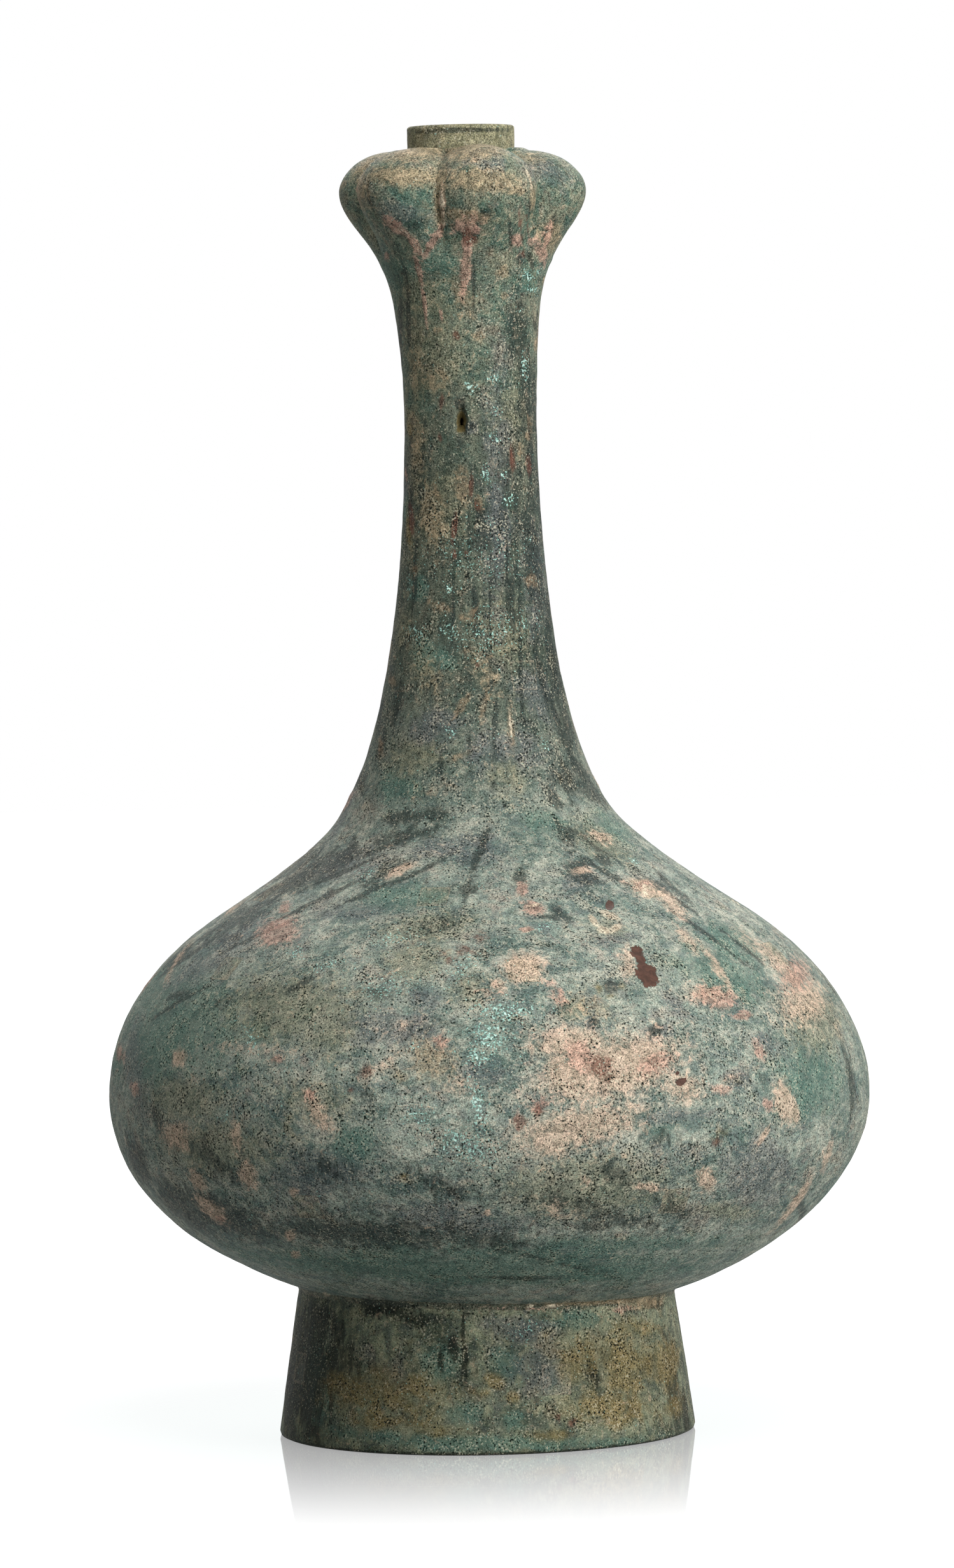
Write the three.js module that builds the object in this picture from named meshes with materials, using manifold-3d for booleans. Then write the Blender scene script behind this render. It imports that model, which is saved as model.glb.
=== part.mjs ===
// An archaic bronze vase with a garlic-bulb mouth. Millimetres, +Z up, the floor at Z = 0, the vase's
// axis on Z and its front towards -Y. The castings stack on the floor in this order: foot ring, belly,
// neck tube, garlic head, mouth collar. Small square spacers, which held the clay core in each mould,
// sit in windows through the walls, flush with both faces.
import * as THREE from "three";
import { mergeVertices } from "three/addons/utils/BufferGeometryUtils.js";
import Module from "manifold-3d";

const wasm = await Module();
wasm.setup();

// Heights of the castings, each from its own lower seat to its upper one
const footHeight = 40.5;
const neckHeight = 145;
const headHeight = 42;
const collarHeight = 8;

// Foot ring
const footFloorRadius = 59.2;
const footTopRadius = 53.2;
const footWall = 2.8;
const footEdgeRound = 1.2;

// Belly: an ellipse below its widest level, a taller one above it, then a hollow curve to the neck
const bellyRadius = 107.8;
const bellyWall = 2.2;
const bellyDropToPole = 63.9;
const bellyRiseToPole = 71.5;
const shoulderRise = 49;
const shoulderLead = 4.3;
const shoulderTail = 10.8;
const bellyTopRise = 79;

// Neck tube
const neckBaseRadius = 39.4;
const neckBaseSlope = 0.73;
const neckWaistRadius = 18.7;
const neckWaistRise = 112;
const neckTopRadius = 20.9;
const neckTopSlope = 0.15;
const neckWall = 2.5;
const neckBaseLead = 26.4;
const neckWaistLead = 17;
const neckTopLead = 15;

// Garlic head: cloves set about the axis, each round in plan, with grooves between them
const cloves = 6;
const firstCloveAzimuth = 16;
const headRadius = 35.5;
const headWidestRise = 32;
const headWall = 2.2;
const headBaseLead = 18.4;
const headWidestLead = 10.2;
const cloveRadius = 15.9;
const cloveCrownRise = 12.3;
const grooveStartRise = 9;
const grooveFullRise = 27;

// Mouth collar
const collarRadius = 15.1;
const collarBoreRadius = 12.5;
const collarEdgeRound = 0.8;
const collarLandWidth = 1.2;
const collarSeatWidth = 1;

// Seats between castings
const clearance = 0.3;
const spigotDepth = 5;
const neckSpigotWall = 1.8;
const footSpigotWall = 3;
const footSpigotDepth = 4.5;

// Solder in the corner between foot and belly
const solderHeight = 2.6;
const solderWidth = 3.2;
const solderHollow = 0.35;

// Carrying loop under the base
const loopRadius = 9;
const loopWire = 4.6;
const loopLeg = 3;

// Core spacers, in rows round a casting. A row's rise is counted from the casting's lower seat.
const spacerSide = 8.4;
const spacerRows = [
  { name: "foot_spacer", on: "foot", rise: 20, count: 4, first: 20, pitch: 90 },
  { name: "lower_spacer", on: "belly", rise: 32, count: 6, first: 30, pitch: 60 },
  { name: "middle_spacer", on: "belly", rise: 96, count: 6, first: 7, pitch: 60 },
  { name: "shoulder_spacer", on: "belly", rise: 115, count: 6, first: 48, pitch: 60 },
  { name: "neck_spacer", on: "neck", rise: 40, count: 4, first: 35, pitch: 90 },
  { name: "throat_spacer", on: "neck", rise: 112, count: 3, first: 82, pitch: 90 },
];

// Hole through the neck, where a spacer of the throat row has gone
const holeHeight = 8.6;
const holeWidth = 3.4;
const holeAzimuth = -9;
const holeRise = 112;

// Facets
const roundSegments = 48;
const cloveSegments = 10;
const collarSegments = 36;

// Levels that follow from the sizes
const bellyWidest = footHeight + bellyDropToPole * Math.sqrt(1 - (footTopRadius / bellyRadius) ** 2);
const neckBase = bellyWidest + bellyTopRise;
const neckTop = neckBase + neckHeight;
const headTop = neckTop + headHeight;
const rim = headTop + collarHeight;
const bellyPole = bellyWidest - bellyDropToPole;
const headWidest = neckTop + headWidestRise;
const cloveMiddle = headRadius - cloveRadius;
const landRadius = collarRadius + collarLandWidth;

const bronze = {
  foot_ring: 0x5e6a55,
  belly: 0x6e7a63,
  neck_tube: 0x7b8070,
  garlic_head: 0x87826b,
  mouth_collar: 0x8a8263,
  foot_solder: 0xb0a68c,
  base_loop: 0x5b5f4c,
  spacer: 0x8c6f5f,
};

function named(name, geometry, colour) {
  const material = new THREE.MeshStandardMaterial({ color: colour, roughness: 0.72, metalness: 0.35 });
  const mesh = new THREE.Mesh(geometry, material);
  mesh.name = name;
  return mesh;
}

// The front of the vase is azimuth 0, and azimuth grows towards +X.
function towards(azimuth) {
  const angle = THREE.MathUtils.degToRad(azimuth);
  return new THREE.Vector3(Math.sin(angle), -Math.cos(angle), 0);
}

function solid(geometry) {
  const bare = geometry.index ? geometry.toNonIndexed() : geometry.clone();
  bare.deleteAttribute("normal");
  bare.deleteAttribute("uv");
  const merged = mergeVertices(bare, 1e-4);
  const mesh = new wasm.Mesh({
    numProp: 3,
    vertProperties: new Float32Array(merged.attributes.position.array),
    triVerts: new Uint32Array(merged.index.array),
  });
  return new wasm.Manifold(mesh);
}

function geometryOf(body) {
  const mesh = body.getMesh();
  const geometry = new THREE.BufferGeometry();
  geometry.setAttribute("position", new THREE.BufferAttribute(mesh.vertProperties, 3));
  geometry.setIndex(new THREE.BufferAttribute(mesh.triVerts, 1));
  geometry.computeVertexNormals();
  return geometry;
}

// Outlines are lists of points (radius, height), from the lowest up along the outer face.
function arc(radius, height, reach, rise, from, to, steps) {
  const points = [];
  for (let i = 0; i <= steps; i++) {
    const angle = THREE.MathUtils.degToRad(from + ((to - from) * i) / steps);
    points.push(new THREE.Vector2(radius + reach * Math.cos(angle), height + rise * Math.sin(angle)));
  }
  return points;
}

function curve(start, startLean, startLead, end, endLean, endLead, steps) {
  const out = start.clone().add(new THREE.Vector2(startLean, 1).multiplyScalar(startLead));
  const back = end.clone().sub(new THREE.Vector2(endLean, 1).multiplyScalar(endLead));
  return new THREE.CubicBezierCurve(start, out, back, end).getPoints(steps);
}

// The inner face lies one wall inside the outer one, and both end at the same levels.
function innerLine(outer, wall) {
  const last = outer.length - 1;
  return outer.map((point, i) => {
    const along = outer[Math.min(i + 1, last)].clone().sub(outer[Math.max(i - 1, 0)]).normalize();
    const inner = new THREE.Vector2(point.x - wall * along.y, point.y + wall * along.x);
    const slide = i === 0 || i === last ? (point.y - inner.y) / along.y : 0;
    return inner.addScaledVector(along, slide);
  });
}

// Radius and lean (radius gained per millimetre of height) of an outline at a level.
function lineAt(line, height) {
  const next = Math.max(1, line.findIndex((point) => point.y >= height));
  const [low, high] = [line[next - 1], line[next]];
  const lean = (high.x - low.x) / (high.y - low.y);
  return { radius: low.x + lean * (height - low.y), lean };
}

function revolve(points, segments, start = 0) {
  const profile = points[0].x > 0 ? [...points, points[0].clone()] : points;
  return new THREE.LatheGeometry(profile, segments, THREE.MathUtils.degToRad(start)).rotateX(Math.PI / 2);
}

const at = (radius, height) => new THREE.Vector2(radius, height);

function footOuter() {
  const lean = (footTopRadius - footFloorRadius) / footHeight;
  const side = footFloorRadius + lean * footEdgeRound;
  const edge = arc(side - footEdgeRound, footEdgeRound, footEdgeRound, footEdgeRound, -90, 0, 2);
  return [...edge, at(footTopRadius, footHeight)];
}

function footInner() {
  return [at(footOuter()[0].x - footWall, 0), at(footTopRadius - footWall, footHeight)];
}

function footRing() {
  return solid(revolve([...footOuter(), ...footInner().reverse()], roundSegments));
}

function bellyShoulder() {
  const fall = Math.sqrt(1 - (shoulderRise / bellyRiseToPole) ** 2);
  const lean = (-bellyRadius * shoulderRise) / (bellyRiseToPole ** 2 * fall);
  const start = at(bellyRadius * fall, bellyWidest + shoulderRise);
  const end = at(neckBaseRadius, neckBase);
  return curve(start, lean, shoulderLead, end, -neckBaseSlope, shoulderTail, 4);
}

function bellyOuter() {
  const joint = THREE.MathUtils.radToDeg(Math.asin((footHeight - bellyWidest) / bellyDropToPole));
  const shoulder = THREE.MathUtils.radToDeg(Math.asin(shoulderRise / bellyRiseToPole));
  const lower = arc(0, bellyWidest, bellyRadius, bellyDropToPole, joint, 0, 6);
  const upper = arc(0, bellyWidest, bellyRadius, bellyRiseToPole, 0, shoulder, 5);
  return [...lower, ...upper.slice(1), ...bellyShoulder().slice(1)];
}

// The base closes the belly inside the foot. A turned rib under it fits the foot's bore, and the
// ledge outside the rib is what the foot's top face meets.
function belly() {
  const outer = bellyOuter();
  const rise = bellyDropToPole - bellyWall;
  const reach = bellyRadius - bellyWall;
  const lowest = arc(0, bellyWidest, reach, rise, -90, 0, 8);
  const upperOuter = outer.filter((point) => point.y >= bellyWidest);
  const inner = [...lowest, ...innerLine(upperOuter, bellyWall).slice(1)];
  const ribFoot = footHeight - footSpigotDepth;
  const bore = Math.min(lineAt(footInner(), ribFoot).radius, lineAt(footInner(), footHeight).radius);
  const ribOuter = bore - clearance;
  const ribInner = ribOuter - footSpigotWall;
  const ribAngle = THREE.MathUtils.radToDeg(-Math.acos(ribInner / bellyRadius));
  const base = arc(0, bellyWidest, bellyRadius, bellyDropToPole, -90, ribAngle, 3);
  const rib = [at(ribInner, ribFoot), at(ribOuter, ribFoot), at(ribOuter, footHeight)];
  base[0].x = 0;
  inner[0].x = 0;
  return solid(revolve([...base, ...rib, ...outer, ...inner.reverse()], roundSegments));
}

function neckOuter() {
  const waist = at(neckWaistRadius, neckBase + neckWaistRise);
  const base = at(neckBaseRadius, neckBase);
  const lower = curve(base, -neckBaseSlope, neckBaseLead, waist, 0, neckWaistLead, 7);
  const upper = curve(waist, 0, 0, at(neckTopRadius, neckTop), neckTopSlope, neckTopLead, 4);
  return [...lower, ...upper.slice(1)];
}

// A spigot at each end of the neck enters the belly's and the head's openings.
function neckTube() {
  const outer = neckOuter();
  const below = innerLine(bellyShoulder(), bellyWall).at(-1).x - clearance;
  const above = innerLine(headOuter(), headWall)[0].x - clearance;
  const belowBore = below - neckSpigotWall;
  const aboveBore = above - neckSpigotWall;
  const waist = neckBase + neckWaistRise;
  const narrow = (point) => point.x < (point.y < waist ? belowBore : aboveBore);
  const bore = innerLine(outer, neckWall).filter(narrow);
  const profile = [
    at(below, neckBase),
    ...outer,
    at(above, neckTop),
    at(above, neckTop + spigotDepth),
    at(aboveBore, neckTop + spigotDepth),
    at(aboveBore, neckTop),
    ...bore.reverse(),
    at(belowBore, neckBase),
    at(belowBore, neckBase - spigotDepth),
    at(below, neckBase - spigotDepth),
  ];
  return solid(revolve(profile, roundSegments));
}

// The bulb's outline through the middle of a clove, up over its crown and down to the collar's seat.
function headOuter() {
  const start = at(neckTopRadius, neckTop);
  const bulb = curve(start, neckTopSlope, headBaseLead, at(headRadius, headWidest), 0, headWidestLead, 6);
  const crown = arc(cloveMiddle, headWidest, cloveRadius, cloveCrownRise, 0, 90, 4);
  const crownFall = headWidest + cloveCrownRise - headTop;
  const inside = arc(cloveMiddle, headTop, cloveMiddle - landRadius, crownFall, 90, 180, 2);
  return [...bulb, ...crown.slice(1), ...inside.slice(1)];
}

// Takes a point of that outline to an angle off the clove's middle, where the clove is narrower and
// lower. The grooves fade into the neck below and run out at the collar's seat above.
function offClove(point, off, wall) {
  const round = cloveRadius - wall;
  const half = Math.sqrt(round ** 2 - (cloveMiddle * Math.sin(off)) ** 2);
  const middle = cloveMiddle * Math.cos(off);
  if (point.y < headWidest) {
    const fade = THREE.MathUtils.smoothstep(point.y, neckTop + grooveStartRise, neckTop + grooveFullRise);
    return at(point.x - fade * (cloveMiddle + round - middle - half), point.y);
  }
  const share = half / round;
  const moved = at(middle + (point.x - cloveMiddle) * share, headWidest + (point.y - headWidest) * share);
  return point.clone().lerp(moved, THREE.MathUtils.smoothstep(point.x, landRadius, cloveMiddle));
}

// Each ring of a revolved shell's points lies in the order of its profile, one ring per segment.
function shapeCloves(geometry, profile, outerCount) {
  const place = geometry.attributes.position;
  const ring = profile.length + 1;
  const pitch = (2 * Math.PI) / cloves;
  for (let i = 0; i < place.count; i++) {
    const azimuth = Math.atan2(place.getX(i), -place.getY(i)) - THREE.MathUtils.degToRad(firstCloveAzimuth);
    const order = i % ring;
    const wall = order < outerCount || order === profile.length ? 0 : headWall;
    const point = profile[order % profile.length];
    const moved = offClove(point, azimuth - pitch * Math.round(azimuth / pitch), wall);
    const keep = moved.x / point.x;
    place.setXYZ(i, place.getX(i) * keep, place.getY(i) * keep, moved.y);
  }
}

function garlicHead() {
  const outer = headOuter();
  const opening = collarRadius - collarSeatWidth;
  const roof = headTop - headWall;
  const bulb = innerLine(outer, headWall).filter((point) => point.x > landRadius && point.y < roof);
  const profile = [...outer, at(opening, headTop), at(opening, roof), ...bulb.reverse()];
  const geometry = revolve(profile, cloves * cloveSegments, firstCloveAzimuth + 180 / cloves);
  shapeCloves(geometry, profile, outer.length);
  return solid(geometry);
}

function mouthCollar() {
  const spigot = collarRadius - collarSeatWidth - clearance;
  const round = collarEdgeRound;
  const lip = arc(collarRadius - round, rim - round, round, round, 0, 90, 3);
  const profile = [
    at(spigot, headTop - spigotDepth),
    at(spigot, headTop),
    at(collarRadius, headTop),
    ...lip,
    at(collarBoreRadius, rim),
    at(collarBoreRadius, headTop - spigotDepth),
  ];
  return solid(revolve(profile, collarSegments));
}

function footSolder() {
  const under = (radius) => bellyWidest - bellyDropToPole * Math.sqrt(1 - (radius / bellyRadius) ** 2);
  const level = footHeight - solderHeight;
  const reach = footTopRadius + solderWidth;
  const low = at(lineAt(footOuter(), level).radius + clearance, level);
  const far = at(reach, under(reach) - clearance);
  const corner = at(footTopRadius + clearance, under(footTopRadius + clearance) - clearance);
  const hollow = low.clone().lerp(far, 0.5).lerp(corner, solderHollow);
  return solid(revolve([low, hollow, far, corner], roundSegments));
}

// An arch of round bar whose legs stop under the belly's base.
class LoopCurve extends THREE.Curve {
  getPoint(share, target = new THREE.Vector3()) {
    const bend = Math.PI * loopRadius;
    const whole = bend + 2 * loopLeg;
    const run = share * whole;
    if (run < loopLeg) return target.set(-loopRadius, 0, loopLeg - run);
    if (run > loopLeg + bend) return target.set(loopRadius, 0, run - loopLeg - bend);
    const angle = (run - loopLeg) / loopRadius;
    return target.set(-loopRadius * Math.cos(angle), 0, -loopRadius * Math.sin(angle));
  }
}

function baseLoop() {
  const section = new THREE.Shape().absarc(0, 0, loopWire / 2, 0, 2 * Math.PI);
  const options = { steps: 16, curveSegments: 5, extrudePath: new LoopCurve(), bevelEnabled: false };
  const geometry = new THREE.ExtrudeGeometry(section, options);
  geometry.translate(0, 0, bellyPole - clearance - loopLeg);
  return solid(geometry);
}

// A square bar through a wall, along the wall's own normal.
function barThrough(line, height, azimuth, width, tall, reach) {
  const { radius, lean } = lineAt(line, height);
  const outward = towards(azimuth).addScaledVector(new THREE.Vector3(0, 0, 1), -lean).normalize();
  const middle = towards(azimuth).multiplyScalar(radius).setZ(height);
  const side = new THREE.Vector3().crossVectors(new THREE.Vector3(0, 0, 1), outward).normalize();
  const up = new THREE.Vector3().crossVectors(outward, side);
  const turn = new THREE.Matrix4().makeBasis(side, up, outward).setPosition(middle);
  return solid(new THREE.BoxGeometry(width, tall, reach).applyMatrix4(turn));
}

function neckHole(line) {
  const height = neckBase + holeRise;
  const reach = 6 * neckWall;
  return barThrough(line, height, holeAzimuth, holeWidth, holeHeight, reach);
}

function vase() {
  const group = new THREE.Group();
  const castings = {
    foot: { name: "foot_ring", body: footRing(), line: footOuter(), seat: 0, wall: footWall },
    belly: { name: "belly", body: belly(), line: bellyOuter(), seat: footHeight, wall: bellyWall },
    neck: { name: "neck_tube", body: neckTube(), line: neckOuter(), seat: neckBase, wall: neckWall },
    head: { name: "garlic_head", body: garlicHead() },
    collar: { name: "mouth_collar", body: mouthCollar() },
    solder: { name: "foot_solder", body: footSolder() },
    loop: { name: "base_loop", body: baseLoop() },
  };
  for (const row of spacerRows) {
    const casting = castings[row.on];
    const reach = 6 * casting.wall;
    const window = spacerSide + 2 * clearance;
    for (let i = 0; i < row.count; i++) {
      const place = [casting.line, casting.seat + row.rise, row.first + row.pitch * i];
      const spacer = casting.body.intersect(barThrough(...place, spacerSide, spacerSide, reach));
      casting.body = casting.body.subtract(barThrough(...place, window, window, reach));
      group.add(named(`${row.name}_${i + 1}`, geometryOf(spacer), bronze.spacer));
    }
  }
  castings.neck.body = castings.neck.body.subtract(neckHole(castings.neck.line));
  for (const { name, body } of Object.values(castings)) {
    group.add(named(name, geometryOf(body), bronze[name]));
  }
  return group;
}

export default vase();
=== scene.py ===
# A bronze vase with a garlic-bulb mouth, cast in sections and covered with the crusts of a long burial.
# The vase's axis is on Z, its foot at Z = 0 and its front towards -Y. Azimuths are in degrees from the
# front and grow towards +X. Lengths are in millimetres until weather() turns a piece into metres.
import math

import bpy
import numpy as np
from mathutils import Matrix, Vector


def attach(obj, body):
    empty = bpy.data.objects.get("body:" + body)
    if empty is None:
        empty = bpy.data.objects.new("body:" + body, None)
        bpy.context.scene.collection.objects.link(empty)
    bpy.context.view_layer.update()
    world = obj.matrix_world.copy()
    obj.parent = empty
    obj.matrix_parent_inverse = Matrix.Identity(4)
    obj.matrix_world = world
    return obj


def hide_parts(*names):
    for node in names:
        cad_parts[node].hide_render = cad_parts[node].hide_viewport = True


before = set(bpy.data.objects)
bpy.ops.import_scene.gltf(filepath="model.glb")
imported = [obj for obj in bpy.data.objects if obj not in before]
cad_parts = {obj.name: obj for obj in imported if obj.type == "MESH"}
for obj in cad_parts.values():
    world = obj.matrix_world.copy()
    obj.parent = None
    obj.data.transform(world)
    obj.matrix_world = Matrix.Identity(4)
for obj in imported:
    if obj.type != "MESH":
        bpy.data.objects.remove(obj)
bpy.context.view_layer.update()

# A lean is the radius gained for each millimetre of height. A lead is how far a curve keeps to its
# lean at an end.

# Levels
FOOT_TOP = 40.5
BELLY_WIDEST = 96.077
NECK_BASE = 175.077
NECK_WAIST = 287.077
NECK_TOP = 320.077
HEAD_WIDEST = 352.077
HEAD_TOP = 362.077
RIM = 370.077

# Foot ring
FOOT_RADIUS = 59.2
FOOT_TOP_RADIUS = 53.2
FOOT_WALL = 2.8
FOOT_EDGE = 1.2

# Belly
BELLY_RADIUS = 107.8
BELLY_WALL = 2.2
BELLY_DROP = 63.9
BELLY_RISE = 71.5
SHOULDER_RISE = 49
SHOULDER_LEADS = (4.3, 10.8)
RIB_DEPTH = 4.5
RIB_WALL = 3

# Neck tube
NECK_BASE_RADIUS = 39.4
NECK_BASE_LEAN = -0.73
NECK_WAIST_RADIUS = 18.7
NECK_TOP_RADIUS = 20.9
NECK_TOP_LEAN = 0.15
NECK_LEADS = (26.4, 17, 15)
NECK_WALL = 2.5
SPIGOT_DEPTH = 5
SPIGOT_WALL = 1.8

# Garlic head
CLOVES = 6
FIRST_CLOVE = 16
HEAD_RADIUS = 35.5
HEAD_LEADS = (18.4, 10.2)
HEAD_WALL = 2.2
CLOVE_RADIUS = 15.9
CLOVE_MIDDLE = HEAD_RADIUS - CLOVE_RADIUS
CROWN_RISE = 12.3
GROOVE_START = NECK_TOP + 9
GROOVE_FULL = NECK_TOP + 27

# Mouth collar
COLLAR_RADIUS = 15.1
COLLAR_BORE = 12.5
COLLAR_EDGE = 0.8
COLLAR_LAND = COLLAR_RADIUS + 1.2
COLLAR_SPIGOT = 13.8

# The play of one casting inside another, the bead of solder at the foot, and the loop under the base
FIT = 0.3
BEAD_GAP = 0.04
BEAD_DROP = 1.3
BEAD_REACH = 1.6
BEAD_HOLLOW = 0.35
BEAD_ROOF_POINTS = 8
BEAD_FACE_POINTS = 12
LOOP_RADIUS = 9
LOOP_WIRE = 2.3
LOOP_LEG = 3
LOOP_BENDS = 41
LOOP_SIDES = 28

# Points in a drawn line, and in the foot's rounded edge
LINE_POINTS = 40
EDGE_POINTS = 8

# Core spacers: their size, the reach of their cutter to each side, and the pale tone of their edges,
# which starts at this share of their half-side
SPACER_SIDE = 8.4
SEAM = 0.04
CUT_REACH = 9
EDGE_TONE = 0.7
EDGE_START = 0.8

# Rows of core spacers: name, casting, height, first azimuth, pitch, count
SPACER_ROWS = [
    ("foot_spacer", "foot_ring", 20, 20, 90, 4),
    ("lower_spacer", "belly", 72.5, 30, 60, 6),
    ("middle_spacer", "belly", 136.5, 7, 60, 6),
    ("shoulder_spacer", "belly", 155.5, 48, 60, 6),
    ("neck_spacer", "neck_tube", 215.077, 35, 90, 4),
    ("throat_spacer", "neck_tube", 287.077, 82, 90, 3),
]

# Hole through the neck: azimuth, height, its ragged outline across and up at the outer face, and the
# share of that size which it loses for each millimetre of depth
HOLE_AZIMUTH = -9
HOLE_HEIGHT = 286.6
HOLE_OUTLINE = [
    (-1.4, -4.6), (0.1, -4.9), (1.6, -4.5), (2, -3.3), (1.7, -2.2), (2.2, -0.9), (2.5, 0.7), (2, 2.5),
    (1.4, 3.9), (0.4, 4.8), (-0.4, 4.4), (-1.4, 3.1), (-1.9, 1.1), (-2.2, -0.8), (-1.7, -2.5), (-2, -3.7),
]
HOLE_TAPER = 0.31
HOLE_REACH = 3.1

# The hole's wall carries earth: it lies within this ellipse, and deeper than its lip
EARTH_ACROSS = 3.2
EARTH_UP = 6.0
EARTH_LIP = 0.3

# How far the castings stand off the axis towards +X, by height: the vase is not quite true
OFF_HEIGHTS = [0, 40, 60, 85, 105, 120, 140, 165, 180, 215, 240, 300, 335, 350, 370]
OFF_AXIS = [0, 0.5, 2.0, 2.5, 2.2, 1.5, 1.0, 1.0, 0, 0.15, 0.5, 0.75, 0, -0.5, -0.6]

# How far its left side is raised, by height: the foot's joint isn't level. The right side drops a little.
LIFT_HEIGHTS = [5, 40, 48, 58, 75]
LIFT = [0, 2.1, 2.0, 0.8, 0]
LIFT_MIDDLE = 0.375
LIFT_TILT = 0.012
LIFT_RANGE = (-0.3, 1)

# How far the crown of each clove stands too low, by the clove's azimuth. The drop grows from the collar's
# seat out to a radius, and over a range of levels.
CLOVE_AZIMUTHS = [16, 76, 136, 196, 256, 316]
CLOVE_DROPS = [0.2, 1.8, 1.8, 1.2, 1.0, 1.0]
CROWN_RADIUS = 20.5
CROWN_RANGE = (345, 360)

# The photograph's camera
PHOTO_WIDTH = 1499
PHOTO_HEIGHT = 2464
CAMERA_PLACE = np.array([0.5, -2240.0, 278.0])
CAMERA_AIM = np.array([0.5, 0.0, 183.9])
CAMERA_ROLL = 1.1
CAMERA_LENS = 181.5
CAMERA_SENSOR = 36.0

# A millimetre in metres, and a metre in millimetres
MILLIMETRE = 0.001
METRE = 1000.0

# A pixel's line of sight meets the vase within this range, which is searched in steps
SIGHT_NEAR = 2100
SIGHT_FAR = 2260
SIGHT_STEPS = 1200

# The picture's middle, the pixels over which the face's slope is taken, and the most millimetres that
# a pixel may stand for across, near the outline
PHOTO_MIDDLE = 750
SLOPE_PIXELS = 6
WIDEST_PIXEL = 0.5

# Relief of the outer faces: the sizes and heights of its noises, the heights of the marks that have
# relief, the shares of a mark over which they rise, how much the fine noise breaks up a crust, the
# levels at foot and rim over which all of it fades in, and the angle from which an edge is sharp
NOISE_GAIN = 1.7
SWELL_SIZE = 60
SWELL_HEIGHT = 0.25
LUMP_SIZE = 7
LUMP_HEIGHT = 0.1
FINE_SIZE = 2.6
FINE_HEIGHT = 0.05
CRUST_HEIGHT = 0.22
WEAR_DEPTH = 0.3
PALE_HEIGHT = 0.35
RISE_RANGE = (0.35, 0.8)
WEAR_RANGE = (0.4, 0.6)
CRUST_LEAST = 0.7
CRUST_BREAK = 0.5
FOOT_FADE = 2
RIM_FADE = 1
SHARP_ANGLE = 40

# The reach to each side over which a slope is taken, and a length too small to matter, which is the least
# radius that is divided by and the play in comparing levels
SLOPE_REACH = 0.5
LEAST = 0.01

# Levels over which the body's colours pass into those of neck and head, and where the belly's
# underside is rough, with the share of roughness that each adds to the grain
NECK_RANGE = (150, 225)
HEAD_RANGE = (262, 330)
UNDER_START = (FOOT_TOP, 48)
UNDER_END = (65, 100)
NECK_ROUGH = 0.02
HEAD_ROUGH = 0.28
UNDER_ROUGH = 0.35

# The dark line at the foot's lowest edge, a painted contact shadow where the foot stands on the floor
CONTACT_SHADE_TONE = 0.9
CONTACT_SHADE_RANGE = (0.4, 1.4)
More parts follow.
